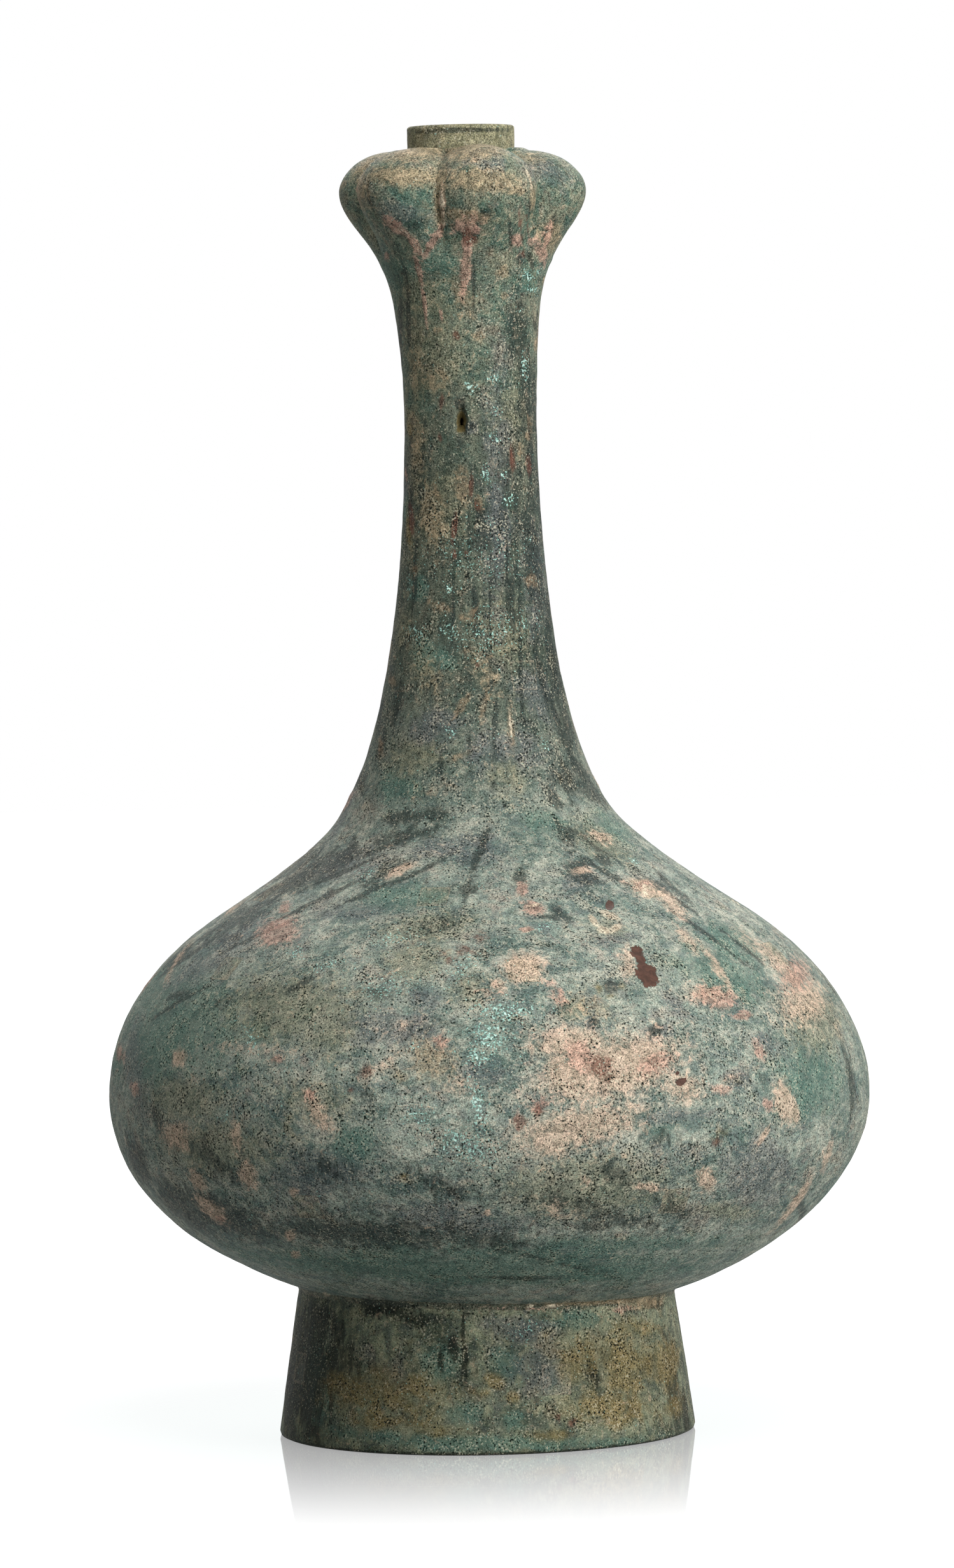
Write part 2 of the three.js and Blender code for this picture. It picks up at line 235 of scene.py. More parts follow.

# Marks of the patina, with some of painted light and shade among them, as they show in the photograph: the
# two ends of a mark's middle line and its half-width, in the photograph's pixels, then its strength.
MARKS = {
    "teal": [
        (185, 1640, 330, 1560, 75, 1.1), (225, 1545, 300, 1545, 30, 1.2), (200, 1660, 250, 1650, 45, 1.2),
        (385, 1626, 425, 1626, 18, 1.1), (350, 1608, 372, 1608, 10, 1), (520, 1800, 590, 1800, 30, 0.9),
        (300, 2000, 1150, 2000, 22, 1.1), (640, 1985, 1000, 1990, 30, 1), (1230, 1700, 1330, 1700, 55, 1),
        (1080, 1500, 1200, 1560, 30, 1), (1110, 1455, 1200, 1500, 25, 1), (560, 1420, 700, 1400, 22, 0.9),
        (590, 1240, 660, 1240, 30, 0.8), (590, 405, 640, 440, 25, 1.1), (660, 405, 720, 425, 18, 1),
        (640, 923, 670, 923, 22, 1), (645, 1034, 710, 1034, 22, 1), (630, 620, 680, 640, 25, 0.8),
        (496, 2110, 505, 2250, 18, 1), (660, 2147, 716, 2147, 26, 1), (775, 2140, 825, 2150, 22, 1),
        (700, 2223, 756, 2223, 20, 0.9), (785, 2232, 825, 2232, 16, 0.9), (550, 2156, 585, 2156, 14, 0.9),
        (470, 2262, 1040, 2275, 12, 0.9), (860, 2080, 960, 2075, 14, 0.9), (600, 325, 655, 330, 26, 1.1),
        (1000, 1780, 1100, 1760, 18, 0.8), (800, 1300, 900, 1290, 25, 0.8), (930, 1280, 990, 1320, 20, 0.8),
        (590, 1960, 700, 1985, 16, 0.9), (830, 1960, 1200, 1950, 14, 0.8), (640, 470, 720, 478, 26, 0.95),
        (180, 1640, 190, 1700, 20, 0.8), (120, 1640, 140, 1560, 22, 0.9), (112, 1700, 120, 1780, 14, 0.9),
        (440, 1620, 520, 1560, 10, 0.7), (600, 2010, 840, 2016, 14, 0.8),
    ],
    "khaki": [
        (350, 1585, 555, 1585, 50, 1), (600, 1470, 740, 1450, 22, 1), (470, 1600, 560, 1620, 50, 1),
        (230, 1728, 340, 1730, 34, 1), (250, 1800, 420, 1800, 40, 0.9), (600, 1520, 700, 1500, 30, 0.9),
        (440, 1720, 560, 1740, 30, 0.8), (800, 1870, 1040, 1860, 45, 1), (1250, 1600, 1330, 1610, 45, 1),
        (640, 560, 720, 570, 60, 0.9), (650, 800, 720, 800, 60, 0.9), (600, 1200, 700, 1180, 30, 0.8),
        (900, 1320, 940, 1300, 16, 0.8), (770, 1230, 830, 1210, 30, 0.8), (1100, 1900, 1180, 1905, 12, 1),
        (880, 2130, 1050, 2140, 60, 0.9), (520, 2150, 640, 2180, 40, 0.9), (930, 1450, 990, 1470, 16, 0.8),
        (420, 1400, 480, 1380, 10, 0.6), (710, 1570, 770, 1540, 30, 0.8), (870, 1590, 920, 1580, 20, 0.9),
        (780, 660, 830, 660, 60, 0.8), (760, 1000, 830, 980, 50, 0.8), (656, 480, 650, 900, 14, 0.85),
        # The marks on this line are painted light: they lighten the neck's left side where light falls on
        # it.
        (640, 1000, 690, 1100, 20, 0.6), (640, 450, 700, 495, 26, 1.3), (655, 500, 658, 640, 12, 1.3),
        (900, 1300, 990, 1350, 20, 0.9),
    ],
    "slate": [
        (540, 1615, 690, 1620, 28, 1), (416, 1850, 570, 1860, 42, 0.9), (1142, 1850, 1250, 1830, 48, 1.1),
        (700, 1340, 800, 1330, 30, 0.8), (800, 2152, 895, 2152, 44, 1), (760, 2089, 860, 2089, 18, 1),
        (1010, 1621, 1046, 1621, 11, 1.6), (923, 1603, 935, 1606, 11, 1.5), (940, 1713, 955, 1710, 12, 1),
        (760, 820, 800, 850, 36, 0.9), (640, 1140, 720, 1150, 30, 0.9), (820, 1060, 870, 1130, 24, 1),
        (330, 1480, 410, 1465, 8, 1.1), (480, 1440, 620, 1430, 14, 0.8), (880, 1400, 930, 1370, 14, 0.9),
        (940, 1480, 1010, 1470, 10, 0.8), (1040, 1560, 1080, 1600, 12, 0.8),
        (1140, 1690, 1180, 1700, 14, 0.8), (1010, 1760, 1120, 1750, 14, 0.9),
        (730, 1690, 790, 1690, 20, 0.8), (560, 280, 580, 330, 14, 0.6), (855, 255, 905, 290, 22, 0.9),
        (700, 250, 830, 262, 16, 0.6), (640, 1560, 700, 1580, 18, 0.8), (1180, 1620, 1230, 1650, 14, 0.8),
        (850, 1640, 880, 1620, 12, 0.7), (720, 1180, 860, 1180, 34, 0.8), (840, 820, 850, 1000, 26, 0.75),
        (600, 1330, 760, 1330, 20, 0.7), (860, 1330, 960, 1400, 22, 0.5), (240, 1560, 380, 1480, 22, 0.7),
        (778, 560, 784, 1000, 24, 0.75), (490, 1375, 600, 1345, 24, 0.85), (200, 1590, 215, 1760, 16, 0.8),
        (150, 1620, 160, 1760, 14, 0.8), (330, 1500, 420, 1440, 20, 0.7), (736, 668, 743, 676, 6, 1.3),
        (734, 668, 744, 678, 8, 1.6), (780, 2090, 880, 2100, 26, 0.9), (600, 1900, 820, 1930, 24, 0.9),
        (590, 325, 670, 350, 16, 0.8), (570, 2130, 650, 2190, 22, 0.8),
    ],
    "dark": [
        # Among the dark marks, some are painted shade: those on the foot's left side, x 445 to 560 below y
        # 2050, which run with real dark streaks; those in the grooves between the cloves and on the cloves'
        # lower halves; and one at the head's right edge.
        (420, 1405, 560, 1335, 17, 1.15), (560, 1330, 700, 1300, 12, 0.8), (250, 1870, 420, 1945, 22, 1.1),
        (380, 1930, 780, 1950, 26, 0.84), (700, 1940, 850, 1965, 16, 0.8), (190, 1790, 240, 1860, 16, 1.1),
        (240, 1860, 330, 1940, 18, 1.1), (768, 1300, 740, 1376, 6, 1.2), (740, 1376, 729, 1420, 5, 1),
        (820, 1365, 820, 1392, 8, 1), (870, 1285, 890, 1320, 5, 1.1), (890, 1362, 930, 1355, 9, 1.1),
        (838, 1441, 880, 1441, 4, 1.1), (360, 1475, 380, 1468, 6, 1.1), (744, 415, 744, 495, 3, 1),
        (641, 425, 643, 540, 3, 1.1), (624, 470, 634, 600, 4, 1.1), (739, 664, 739, 676, 9, 1.3),
        (646, 760, 642, 850, 5, 1.1), (650, 640, 644, 720, 3, 0.8), (688, 780, 690, 830, 3, 0.8),
        (737, 790, 737, 900, 3, 0.9), (716, 800, 716, 850, 3, 0.8), (633, 1060, 620, 1140, 6, 1),
        (608, 1140, 590, 1200, 6, 1), (858, 990, 885, 1100, 7, 1.1), (885, 1100, 960, 1230, 9, 1.1),
        (960, 1235, 1010, 1290, 9, 1), (890, 1180, 930, 1240, 9, 1.1), (830, 1120, 850, 1180, 5, 0.8),
        (780, 1080, 778, 1160, 3, 0.8), (736, 1130, 740, 1230, 4, 0.6), (695, 1170, 690, 1230, 5, 0.7),
        # The first two marks on this line are painted shade on the foot's left side.
        (500, 2060, 500, 2240, 14, 1), (465, 2140, 463, 2200, 6, 1.3), (728, 2066, 729, 2120, 3, 1.2),
        (729, 2110, 731, 2180, 6, 1.1), (712, 2100, 712, 2140, 7, 1), (640, 2110, 645, 2140, 4, 0.8),
        # The second mark on this line is painted shade on the foot's left side.
        (560, 2060, 640, 2065, 14, 1), (450, 2070, 470, 2230, 12, 1.2), (1090, 2180, 1094, 2250, 6, 1.1),
        # The first mark on this line is painted shade at the foot's lower left.
        (480, 2235, 500, 2255, 8, 1), (928, 2140, 935, 2175, 8, 1), (1016, 2046, 1040, 2046, 7, 1.5),
        (817, 395, 819, 420, 4, 1.2), (836, 395, 838, 425, 4, 1.2), (800, 330, 806, 400, 4, 0.9),
        (690, 240, 700, 262, 5, 0.5), (645, 203, 805, 199, 3, 1.3), (953, 1544, 966, 1556, 9, 1.6),
        (929, 1600, 938, 1612, 7, 1.2), (1024, 1612, 1036, 1624, 13, 1.1), (822, 470, 812, 560, 4, 0.7),
        (745, 1955, 1000, 2015, 3, 0.8), (730, 2012, 900, 2010, 4, 0.9), (1230, 1930, 1290, 1880, 8, 1),
        (960, 1545, 962, 1556, 11, 1.6), (930, 1830, 1000, 1850, 22, 0.7), (905, 1930, 960, 1925, 10, 0.8),
        (1240, 1514, 1244, 1518, 5, 1.6), (1330, 1640, 1345, 1760, 7, 0.9), (440, 1560, 520, 1530, 8, 0.7),
        (300, 1560, 260, 1570, 8, 0.8), (420, 1540, 400, 1580, 8, 0.6), (1023, 1365, 1090, 1425, 6, 0.8),
        (596, 1290, 690, 1276, 13, 0.95), (540, 1340, 572, 1326, 15, 0.9), (664, 1288, 704, 1277, 8, 0.9),
        (777, 1113, 774, 1230, 5, 0.72), (822, 1361, 806, 1394, 8, 0.9), (872, 1196, 902, 1250, 15, 1),
        (856, 1236, 880, 1272, 8, 1), (879, 1304, 902, 1330, 9, 1), (884, 1366, 946, 1392, 11, 0.95),
        (934, 1340, 962, 1362, 9, 0.9), (880, 1100, 902, 1186, 11, 0.95), (575, 1180, 556, 1246, 13, 0.9),
        (603, 1080, 590, 1160, 8, 0.9), (905, 1222, 960, 1270, 11, 0.95), (850, 700, 858, 900, 10, 0.8),
        (800, 880, 806, 1010, 8, 0.8), (838, 560, 842, 690, 8, 0.75), (745, 905, 748, 1010, 5, 0.8),
        # The marks on this line are painted shade on the foot's left side.
        (478, 2058, 470, 2190, 22, 0.9), (455, 2140, 448, 2250, 11, 1.2), (500, 2056, 502, 2120, 18, 0.95),
        # The first mark on this line is painted shade at the foot's lower left.
        (450, 2260, 480, 2280, 6, 0.9), (1072, 2190, 1084, 2270, 8, 1.05), (1040, 2270, 1080, 2262, 6, 0.8),
        (300, 1500, 420, 1400, 18, 0.75), (180, 1560, 260, 1480, 12, 0.7), (420, 1385, 520, 1325, 14, 0.8),
        (858, 560, 868, 1000, 20, 0.9), (802, 640, 814, 980, 16, 0.62), (870, 1000, 884, 1120, 14, 0.9),
        # The marks on this line are painted shade in the grooves between the cloves.
        (695, 258, 697, 340, 2.2, 0.85), (837, 292, 845, 345, 2.6, 0.95), (573, 262, 582, 335, 2.6, 0.85),
        (560, 1400, 640, 1350, 12, 0.8), (340, 1470, 450, 1400, 14, 0.8), (230, 1530, 330, 1475, 10, 0.8),
        (100, 1600, 180, 1530, 8, 0.7), (860, 1420, 900, 1450, 8, 0.8), (700, 1400, 760, 1395, 8, 0.75),
        (1000, 1380, 1060, 1400, 6, 0.7), (640, 1470, 740, 1440, 10, 0.6), (560, 1560, 640, 1560, 12, 0.6),
        (640, 1620, 720, 1600, 14, 0.55), (300, 1600, 380, 1560, 12, 0.55),
        (560, 1700, 600, 1740, 14, 0.55), (460, 1820, 560, 1850, 16, 0.7), (640, 1850, 760, 1880, 18, 0.75),
        (820, 1880, 960, 1900, 12, 0.7), (1000, 1780, 1100, 1800, 12, 0.55),
        (1120, 1690, 1200, 1700, 10, 0.5), (300, 1800, 380, 1860, 18, 0.7), (220, 1720, 280, 1800, 14, 0.6),
        (824, 470, 828, 760, 15, 0.8), (830, 760, 848, 1010, 15, 0.85), (1052, 2090, 1064, 2280, 12, 0.75),
        # The first two marks on this line are painted shade on the foot's left side.
        (490, 2060, 484, 2260, 12, 1.1), (532, 2070, 528, 2160, 14, 0.8), (717, 628, 721, 642, 3.5, 1.2),
        # The third mark on this line is painted shade on the foot's left side.
        (724, 625, 727, 644, 7, 1.25), (721, 690, 728, 702, 6, 0.9), (466, 2150, 462, 2215, 9, 1.3),
        # The first two marks on this line are painted shade on the foot's left side.
        (488, 2060, 488, 2240, 7, 1.1), (515, 2100, 520, 2240, 5, 0.8), (745, 2100, 748, 2200, 4, 0.55),
        (690, 2120, 694, 2160, 5, 0.9), (815, 480, 815, 565, 18, 1.1), (750, 790, 750, 890, 16, 0.75),
        # The first mark on this line is painted shade on the foot's left side.
        (490, 2065, 488, 2225, 30, 0.95), (860, 900, 867, 1000, 9, 1), (1020, 1880, 1100, 1920, 18, 0.7),
        # The marks on this line are dark streaks on the foot's left side that also deepen its painted
        # shade.
        (462, 2070, 452, 2250, 4, 1.4), (484, 2080, 478, 2230, 4, 1.3), (507, 2060, 507, 2180, 4, 1.2),
        # The first two marks on this line are dark streaks on the foot's left side that also deepen its
        # painted shade.
        (522, 2120, 520, 2250, 3, 1.1), (540, 2060, 538, 2150, 4, 1), (300, 1480, 420, 1418, 3, 1.2),
        (340, 1500, 470, 1440, 3, 1.1), (380, 1420, 520, 1352, 4, 1.3), (430, 1450, 560, 1385, 3, 1.1),
        (250, 1530, 330, 1480, 3, 1.2), (470, 1400, 600, 1345, 3, 1.2), (520, 1430, 640, 1375, 3, 1),
        (560, 1350, 680, 1300, 4, 1.2), (600, 1400, 700, 1350, 3, 1), (180, 1580, 240, 1530, 3, 1.2),
        (220, 1610, 330, 1545, 3, 1), (880, 1290, 960, 1350, 3, 0.9), (900, 1340, 1000, 1400, 3, 1.1),
        (1000, 1370, 1100, 1440, 3, 1.1), (1060, 1430, 1180, 1520, 3, 1), (1120, 1450, 1220, 1530, 3, 0.9),
        (846, 600, 856, 980, 3, 1.3), (828, 500, 832, 800, 3, 1.2), (812, 900, 822, 1100, 3, 1.1),
        (838, 1000, 862, 1120, 4, 1.2), (858, 1080, 900, 1200, 4, 1.2), (795, 820, 798, 980, 2.5, 1.1),
        (770, 880, 770, 1040, 2.5, 1), (712, 880, 712, 1000, 2.5, 0.9), (668, 640, 664, 760, 2.5, 0.8),
        # The second mark on this line is a painted shadow at the head's right edge.
        (655, 860, 648, 980, 3, 1.1), (886, 325, 868, 372, 4, 0.9), (748, 352, 746, 376, 5, 1.2),
        # The last two marks on this line are painted shade on the lower halves of two cloves.
        (850, 1895, 1080, 1930, 18, 0.62), (600, 348, 660, 354, 10, 0.62), (706, 334, 800, 338, 8, 0.6),
        # The second mark on this line is painted shade on the foot's left side.
        (868, 560, 872, 1000, 6, 1), (540, 2100, 560, 2200, 20, 0.62), (620, 2078, 700, 2082, 12, 0.7),
        (795, 520, 822, 540, 8, 0.62),
    ],
    "umber": [
        (640, 1250, 720, 1230, 14, 0.45), (700, 1200, 740, 1180, 6, 0.9), (735, 1095, 715, 1125, 5, 1.1),
        (766, 1090, 755, 1130, 5, 1), (727, 750, 727, 785, 11, 1.2), (750, 780, 752, 800, 6, 1.1),
        (679, 760, 694, 790, 5, 1), (715, 740, 735, 740, 8, 0.9), (831, 902, 840, 920, 8, 1.1),
        (744, 955, 744, 980, 6, 0.9), (649, 890, 656, 904, 5, 1), (672, 945, 705, 960, 8, 0.9),
        (720, 965, 735, 975, 6, 0.9), (612, 1060, 620, 1080, 6, 0.9), (800, 1105, 806, 1180, 5, 0.9),
        (597, 1160, 600, 1190, 4, 1), (826, 680, 832, 690, 6, 0.9), (815, 695, 820, 720, 6, 0.9),
        (712, 430, 738, 500, 14, 0.95), (684, 515, 690, 524, 5, 1.1), (745, 527, 760, 530, 6, 1),
        (788, 465, 798, 465, 6, 0.9), (640, 560, 700, 620, 14, 0.5), (684, 575, 706, 600, 5, 0.9),
        (830, 650, 836, 690, 4, 0.7),
    ],
    "buff": [
        (780, 425, 800, 430, 10, 0.9), (590, 228, 660, 232, 22, 1.2), (575, 274, 670, 280, 14, 1.1),
        (706, 280, 815, 286, 18, 1.1), (795, 298, 830, 301, 8, 1), (702, 334, 768, 345, 10, 1.1),
        (848, 285, 852, 335, 7, 1.1), (700, 236, 800, 222, 20, 1.2), (850, 240, 880, 250, 10, 0.6),
        (690, 205, 720, 212, 8, 1), (540, 240, 556, 310, 18, 1.1), (880, 350, 860, 400, 14, 0.8),
        (575, 250, 600, 240, 10, 0.8), (640, 1640, 715, 1690, 36, 0.72), (850, 2052, 1050, 2040, 4, 1),
        # The last two marks on this line are painted light on the neck's left side.
        (905, 1560, 960, 1600, 20, 0.6), (652, 505, 656, 640, 12, 0.4), (664, 770, 690, 860, 18, 0.75),
        # The first two marks on this line are painted light on the neck's left side.
        (650, 640, 660, 760, 10, 0.6), (650, 1010, 690, 1100, 18, 0.42), (735, 1010, 780, 1090, 20, 0.48),
        # The second mark on this line is painted light on the neck's upper left.
        (548, 255, 560, 320, 10, 0.8), (640, 455, 705, 490, 24, 0.3), (684, 265, 686, 355, 8, 1.3),
        (985, 2052, 1045, 2040, 9, 1), (548, 265, 552, 330, 12, 1.1),
    ],
    "ochre": [
        (515, 2174, 548, 2174, 14, 1.1), (580, 2165, 620, 2165, 20, 1), (636, 2174, 668, 2174, 14, 1),
        (560, 2232, 610, 2232, 13, 1.1), (672, 2250, 704, 2250, 8, 1.1), (762, 2170, 790, 2174, 10, 1.1),
        (796, 2197, 816, 2197, 8, 1), (876, 2147, 916, 2147, 26, 1.1), (950, 2170, 1010, 2170, 20, 1),
        (1020, 2130, 1070, 2147, 34, 1), (940, 2228, 1000, 2228, 14, 1), (840, 2255, 895, 2255, 9, 1.1),
        (1050, 2200, 1070, 2220, 16, 0.9), (530, 2205, 550, 2205, 12, 0.9), (620, 2205, 680, 2215, 12, 0.8),
        (740, 2190, 770, 2190, 6, 0.9), (960, 2085, 1040, 2090, 14, 0.8), (938, 1550, 946, 1562, 6, 1.3),
        (950, 1566, 966, 1564, 4, 1.1), (976, 1545, 978, 1556, 6, 0.7), (455, 1760, 470, 1790, 10, 0.5),
        (620, 1690, 650, 1700, 10, 0.4), (1120, 1790, 1150, 1770, 10, 0.6), (632, 1845, 640, 1850, 6, 0.8),
        (645, 690, 640, 640, 5, 0.8), (640, 800, 646, 860, 4, 0.9), (1040, 2100, 1060, 2200, 14, 0.7),
        (600, 2190, 700, 2240, 16, 0.7), (510, 2185, 690, 2195, 26, 0.9), (900, 2120, 1070, 2150, 28, 0.85),
        (890, 2205, 1050, 2218, 24, 0.85), (600, 2230, 720, 2250, 12, 0.8),
    ],
    "tan": [
        (650, 1358, 610, 1378, 6, 1.1), (795, 1522, 852, 1518, 20, 1.2), (770, 1548, 795, 1550, 9, 1),
        (925, 1310, 962, 1322, 8, 0.95), (985, 1385, 1035, 1405, 12, 0.95),
        (1035, 1400, 1075, 1440, 10, 0.9), (900, 1367, 930, 1368, 4, 1.1), (985, 1490, 990, 1540, 12, 0.8),
        (860, 1700, 1060, 1660, 42, 1.15), (840, 1640, 960, 1640, 26, 1), (870, 1660, 900, 1720, 22, 1.2),
        (990, 1650, 1040, 1660, 22, 1.1), (1080, 1560, 1140, 1560, 14, 0.9), (820, 1790, 1000, 1750, 30, 1),
        (830, 1800, 900, 1790, 22, 1), (1040, 1700, 1110, 1720, 26, 0.8),
        (1226, 1705, 1240, 1760, 12, 1.35), (1246, 1735, 1250, 1765, 7, 1.2),
        (1208, 1770, 1190, 1800, 4, 1.1), (1103, 1838, 1114, 1868, 11, 1.3),
        (1222, 1925, 1280, 1850, 5, 1.1), (1290, 1840, 1310, 1790, 5, 0.9),
        (1230, 1560, 1300, 1580, 34, 0.9), (1180, 1470, 1290, 1580, 12, 0.8),
        (1100, 1480, 1160, 1570, 6, 0.8), (1060, 1450, 1100, 1500, 8, 0.7), (997, 1862, 1037, 1868, 5, 1.2),
        (918, 1850, 926, 1860, 5, 1.2), (761, 1904, 767, 1908, 5, 1.3), (270, 1664, 292, 1660, 11, 1.2),
        (330, 1640, 470, 1660, 10, 0.5), (262, 1770, 290, 1800, 20, 1), (368, 1760, 376, 1810, 8, 0.9),
        (380, 1830, 398, 1866, 12, 1.1), (300, 1840, 320, 1870, 10, 1.1), (312, 1885, 350, 1920, 9, 1.25),
        (450, 1943, 463, 1948, 7, 1.3), (458, 1973, 470, 1980, 5, 1.2), (455, 1872, 468, 1874, 5, 1.2),
        (480, 1715, 520, 1780, 12, 0.9), (350, 1436, 380, 1422, 4, 0.9), (250, 1545, 300, 1480, 4, 0.7),
        (1130, 1700, 1160, 1690, 8, 0.6), (560, 1700, 640, 1650, 10, 0.5), (590, 1620, 680, 1600, 10, 0.4),
        (700, 1720, 740, 1700, 18, 0.6), (960, 1940, 990, 1940, 10, 0.5), (850, 1900, 900, 1910, 14, 0.5),
    ],
    "pink": [
        (410, 1468, 462, 1462, 18, 1.3), (440, 1425, 455, 1430, 9, 1), (812, 1395, 830, 1400, 10, 1.1),
        (822, 1425, 852, 1430, 9, 1.2), (818, 1461, 836, 1461, 4, 1.2), (1000, 1395, 1020, 1390, 7, 1),
        (1098, 1560, 1155, 1575, 16, 1.1), (1156, 1597, 1180, 1595, 6, 1.3),
        (895, 1640, 930, 1680, 18, 1.1), (1000, 1680, 1060, 1660, 14, 1), (1235, 1525, 1275, 1540, 26, 0.9),
        (1188, 1635, 1198, 1670, 8, 0.9), (1200, 1730, 1212, 1742, 7, 1.1),
        (1115, 1710, 1150, 1715, 8, 0.8), (180, 1640, 196, 1670, 10, 0.9), (205, 1700, 218, 1720, 7, 0.8),
        (425, 1665, 445, 1665, 7, 1), (480, 1718, 496, 1722, 8, 1), (680, 1637, 706, 1637, 12, 0.9),
        (865, 1545, 890, 1590, 12, 0.7), (830, 1740, 870, 1730, 12, 0.8), (652, 404, 664, 445, 4, 1.25),
        (664, 445, 670, 510, 3, 1.15), (692, 485, 694, 505, 3, 0.9), (733, 395, 728, 462, 8, 1),
        (640, 200, 660, 215, 6, 0.5), (603, 342, 640, 370, 7, 1.3), (640, 370, 662, 400, 5, 1.3),
        (690, 352, 668, 400, 5, 1.25), (712, 354, 756, 360, 10, 1.1), (733, 370, 735, 405, 7, 1.2),
        (806, 376, 824, 380, 9, 1.2), (845, 375, 860, 420, 8, 0.9), (600, 402, 612, 402, 7, 0.9),
        (540, 290, 552, 300, 6, 0.9), (688, 300, 692, 345, 4, 1.2), (880, 400, 866, 420, 6, 0.7),
        (960, 2060, 1000, 2052, 5, 0.8), (760, 2060, 900, 2060, 4, 0.45), (636, 730, 640, 760, 4, 0.6),
        (745, 1560, 790, 1560, 14, 0.5), (340, 1912, 352, 1922, 5, 0.9), (300, 1690, 316, 1700, 7, 0.6),
        (874, 350, 856, 392, 5, 0.85), (728, 340, 764, 350, 8, 0.7),
    ],
    "red": [
        (930, 1680, 958, 1670, 14, 1.2), (950, 1690, 960, 1700, 8, 1), (808, 1758, 828, 1768, 9, 1.2),
        (840, 1742, 852, 1750, 8, 1.1), (815, 1765, 818, 1775, 4, 1.1), (741, 745, 741, 785, 4, 1.2),
        (716, 805, 712, 850, 4, 1.1), (748, 785, 754, 805, 5, 0.9), (644, 790, 648, 835, 4, 1.3),
        (805, 700, 807, 745, 4, 1.1), (829, 715, 832, 745, 4, 1.2), (731, 865, 734, 875, 3, 1.1),
        (711, 865, 716, 878, 4, 1), (693, 620, 694, 645, 4, 1.1), (692, 682, 693, 696, 3, 1.1),
        (714, 520, 722, 534, 4, 1), (733, 358, 736, 384, 6, 1.5), (650, 1480, 668, 1476, 4, 0.6),
        (735, 1470, 770, 1470, 10, 0.6), (700, 1505, 712, 1512, 5, 0.9), (560, 1690, 590, 1680, 10, 0.8),
        (545, 1712, 556, 1716, 5, 0.9), (897, 2232, 904, 2238, 7, 1.2), (872, 2226, 882, 2230, 6, 0.9),
        (1055, 1636, 1063, 1640, 3, 0.8), (692, 1500, 760, 1490, 12, 0.5), (1124, 1790, 1134, 1796, 8, 0.9),
        (820, 332, 826, 390, 3, 0.8), (838, 340, 842, 380, 3, 0.9), (749, 1044, 752, 1048, 4, 1.2),
        (745, 1035, 756, 1050, 3, 0.8), (538, 250, 545, 262, 4, 0.5), (744, 372, 747, 384, 4, 1),
        (822, 395, 826, 405, 4, 0.9),
    ],
    "bare": [
        (992, 1491, 1009, 1498, 8, 1.2), (1004, 1500, 1010, 1516, 6, 1.3),
        (1006, 1518, 1029, 1544, 13, 1.25), (953, 1420, 963, 1424, 6, 1.7),
        (1068, 1684, 1068, 1690, 4, 1.5), (1068, 1696, 1071, 1704, 7, 1.6),
    ],
    "malachite": [
        (740, 1590, 845, 1590, 14, 1.2), (740, 1620, 800, 1640, 22, 1.2), (735, 1655, 765, 1660, 22, 1.3),
        (740, 1700, 765, 1780, 12, 1.1), (630, 1752, 680, 1752, 14, 1), (680, 1790, 780, 1810, 24, 1),
        (640, 1650, 660, 1640, 8, 0.8), (455, 1495, 480, 1500, 9, 1.1), (446, 1683, 460, 1683, 5, 1.2),
        (345, 1754, 358, 1756, 6, 1.3), (362, 1605, 366, 1610, 5, 1.1), (385, 1615, 405, 1650, 12, 0.9),
        (820, 430, 842, 436, 11, 1.12), (843, 425, 852, 428, 8, 1.03), (817, 484, 820, 490, 5, 1.03),
        (800, 468, 805, 472, 4, 1.03), (824, 552, 826, 600, 6, 1.12), (770, 590, 786, 600, 9, 1.12),
        (730, 600, 748, 616, 8, 1.03), (776, 640, 788, 655, 7, 1.12), (770, 680, 786, 696, 7, 1.12),
        (760, 735, 770, 760, 9, 1.2), (788, 742, 796, 750, 6, 1.2), (795, 775, 808, 792, 9, 1.03),
        (765, 815, 776, 828, 6, 1.03), (830, 846, 836, 856, 5, 1.03), (700, 918, 716, 930, 8, 1.03),
        (640, 900, 646, 940, 6, 0.95), (640, 985, 670, 1010, 12, 0.95), (690, 985, 735, 1010, 14, 0.86),
        (786, 960, 792, 975, 6, 0.95), (820, 960, 830, 1000, 7, 0.77), (700, 1145, 716, 1155, 7, 1.2),
        (850, 1165, 860, 1180, 6, 1), (840, 1460, 870, 1450, 8, 0.9), (570, 1480, 660, 1470, 14, 0.8),
        (480, 1520, 560, 1510, 12, 0.8), (990, 1350, 1000, 1358, 4, 1.4), (752, 1390, 760, 1396, 5, 1.1),
        (560, 1380, 590, 1370, 10, 0.9), (826, 448, 850, 462, 8, 1.03), (560, 1560, 660, 1540, 20, 0.7),
        (700, 1540, 760, 1500, 16, 0.7), (800, 2100, 860, 2080, 14, 0.6), (388, 1915, 396, 1920, 8, 0.8),
        (496, 1878, 506, 1880, 6, 0.8), (700, 1020, 860, 960, 40, 0.6), (640, 870, 860, 880, 40, 0.52),
    ],
    "pale": [
        (926, 1440, 938, 1454, 4.5, 1.3), (944, 1432, 974, 1446, 4.5, 1.2),
        (940, 1458, 958, 1466, 4.5, 1.3), (960, 1464, 976, 1453, 4.5, 1.2),
        (1007, 1394, 1020, 1396, 3, 1.1), (1008, 1402, 1018, 1406, 3, 1), (688, 300, 692, 352, 3.5, 1.2),
        (568, 258, 576, 262, 4, 0.8), (826, 2054, 836, 2054, 3, 1.5), (850, 2056, 880, 2052, 3, 1.1),
        (908, 2238, 985, 2229, 2, 1.3), (512, 2041, 517, 2046, 3, 1.3), (600, 1538, 632, 1520, 2, 1.1),
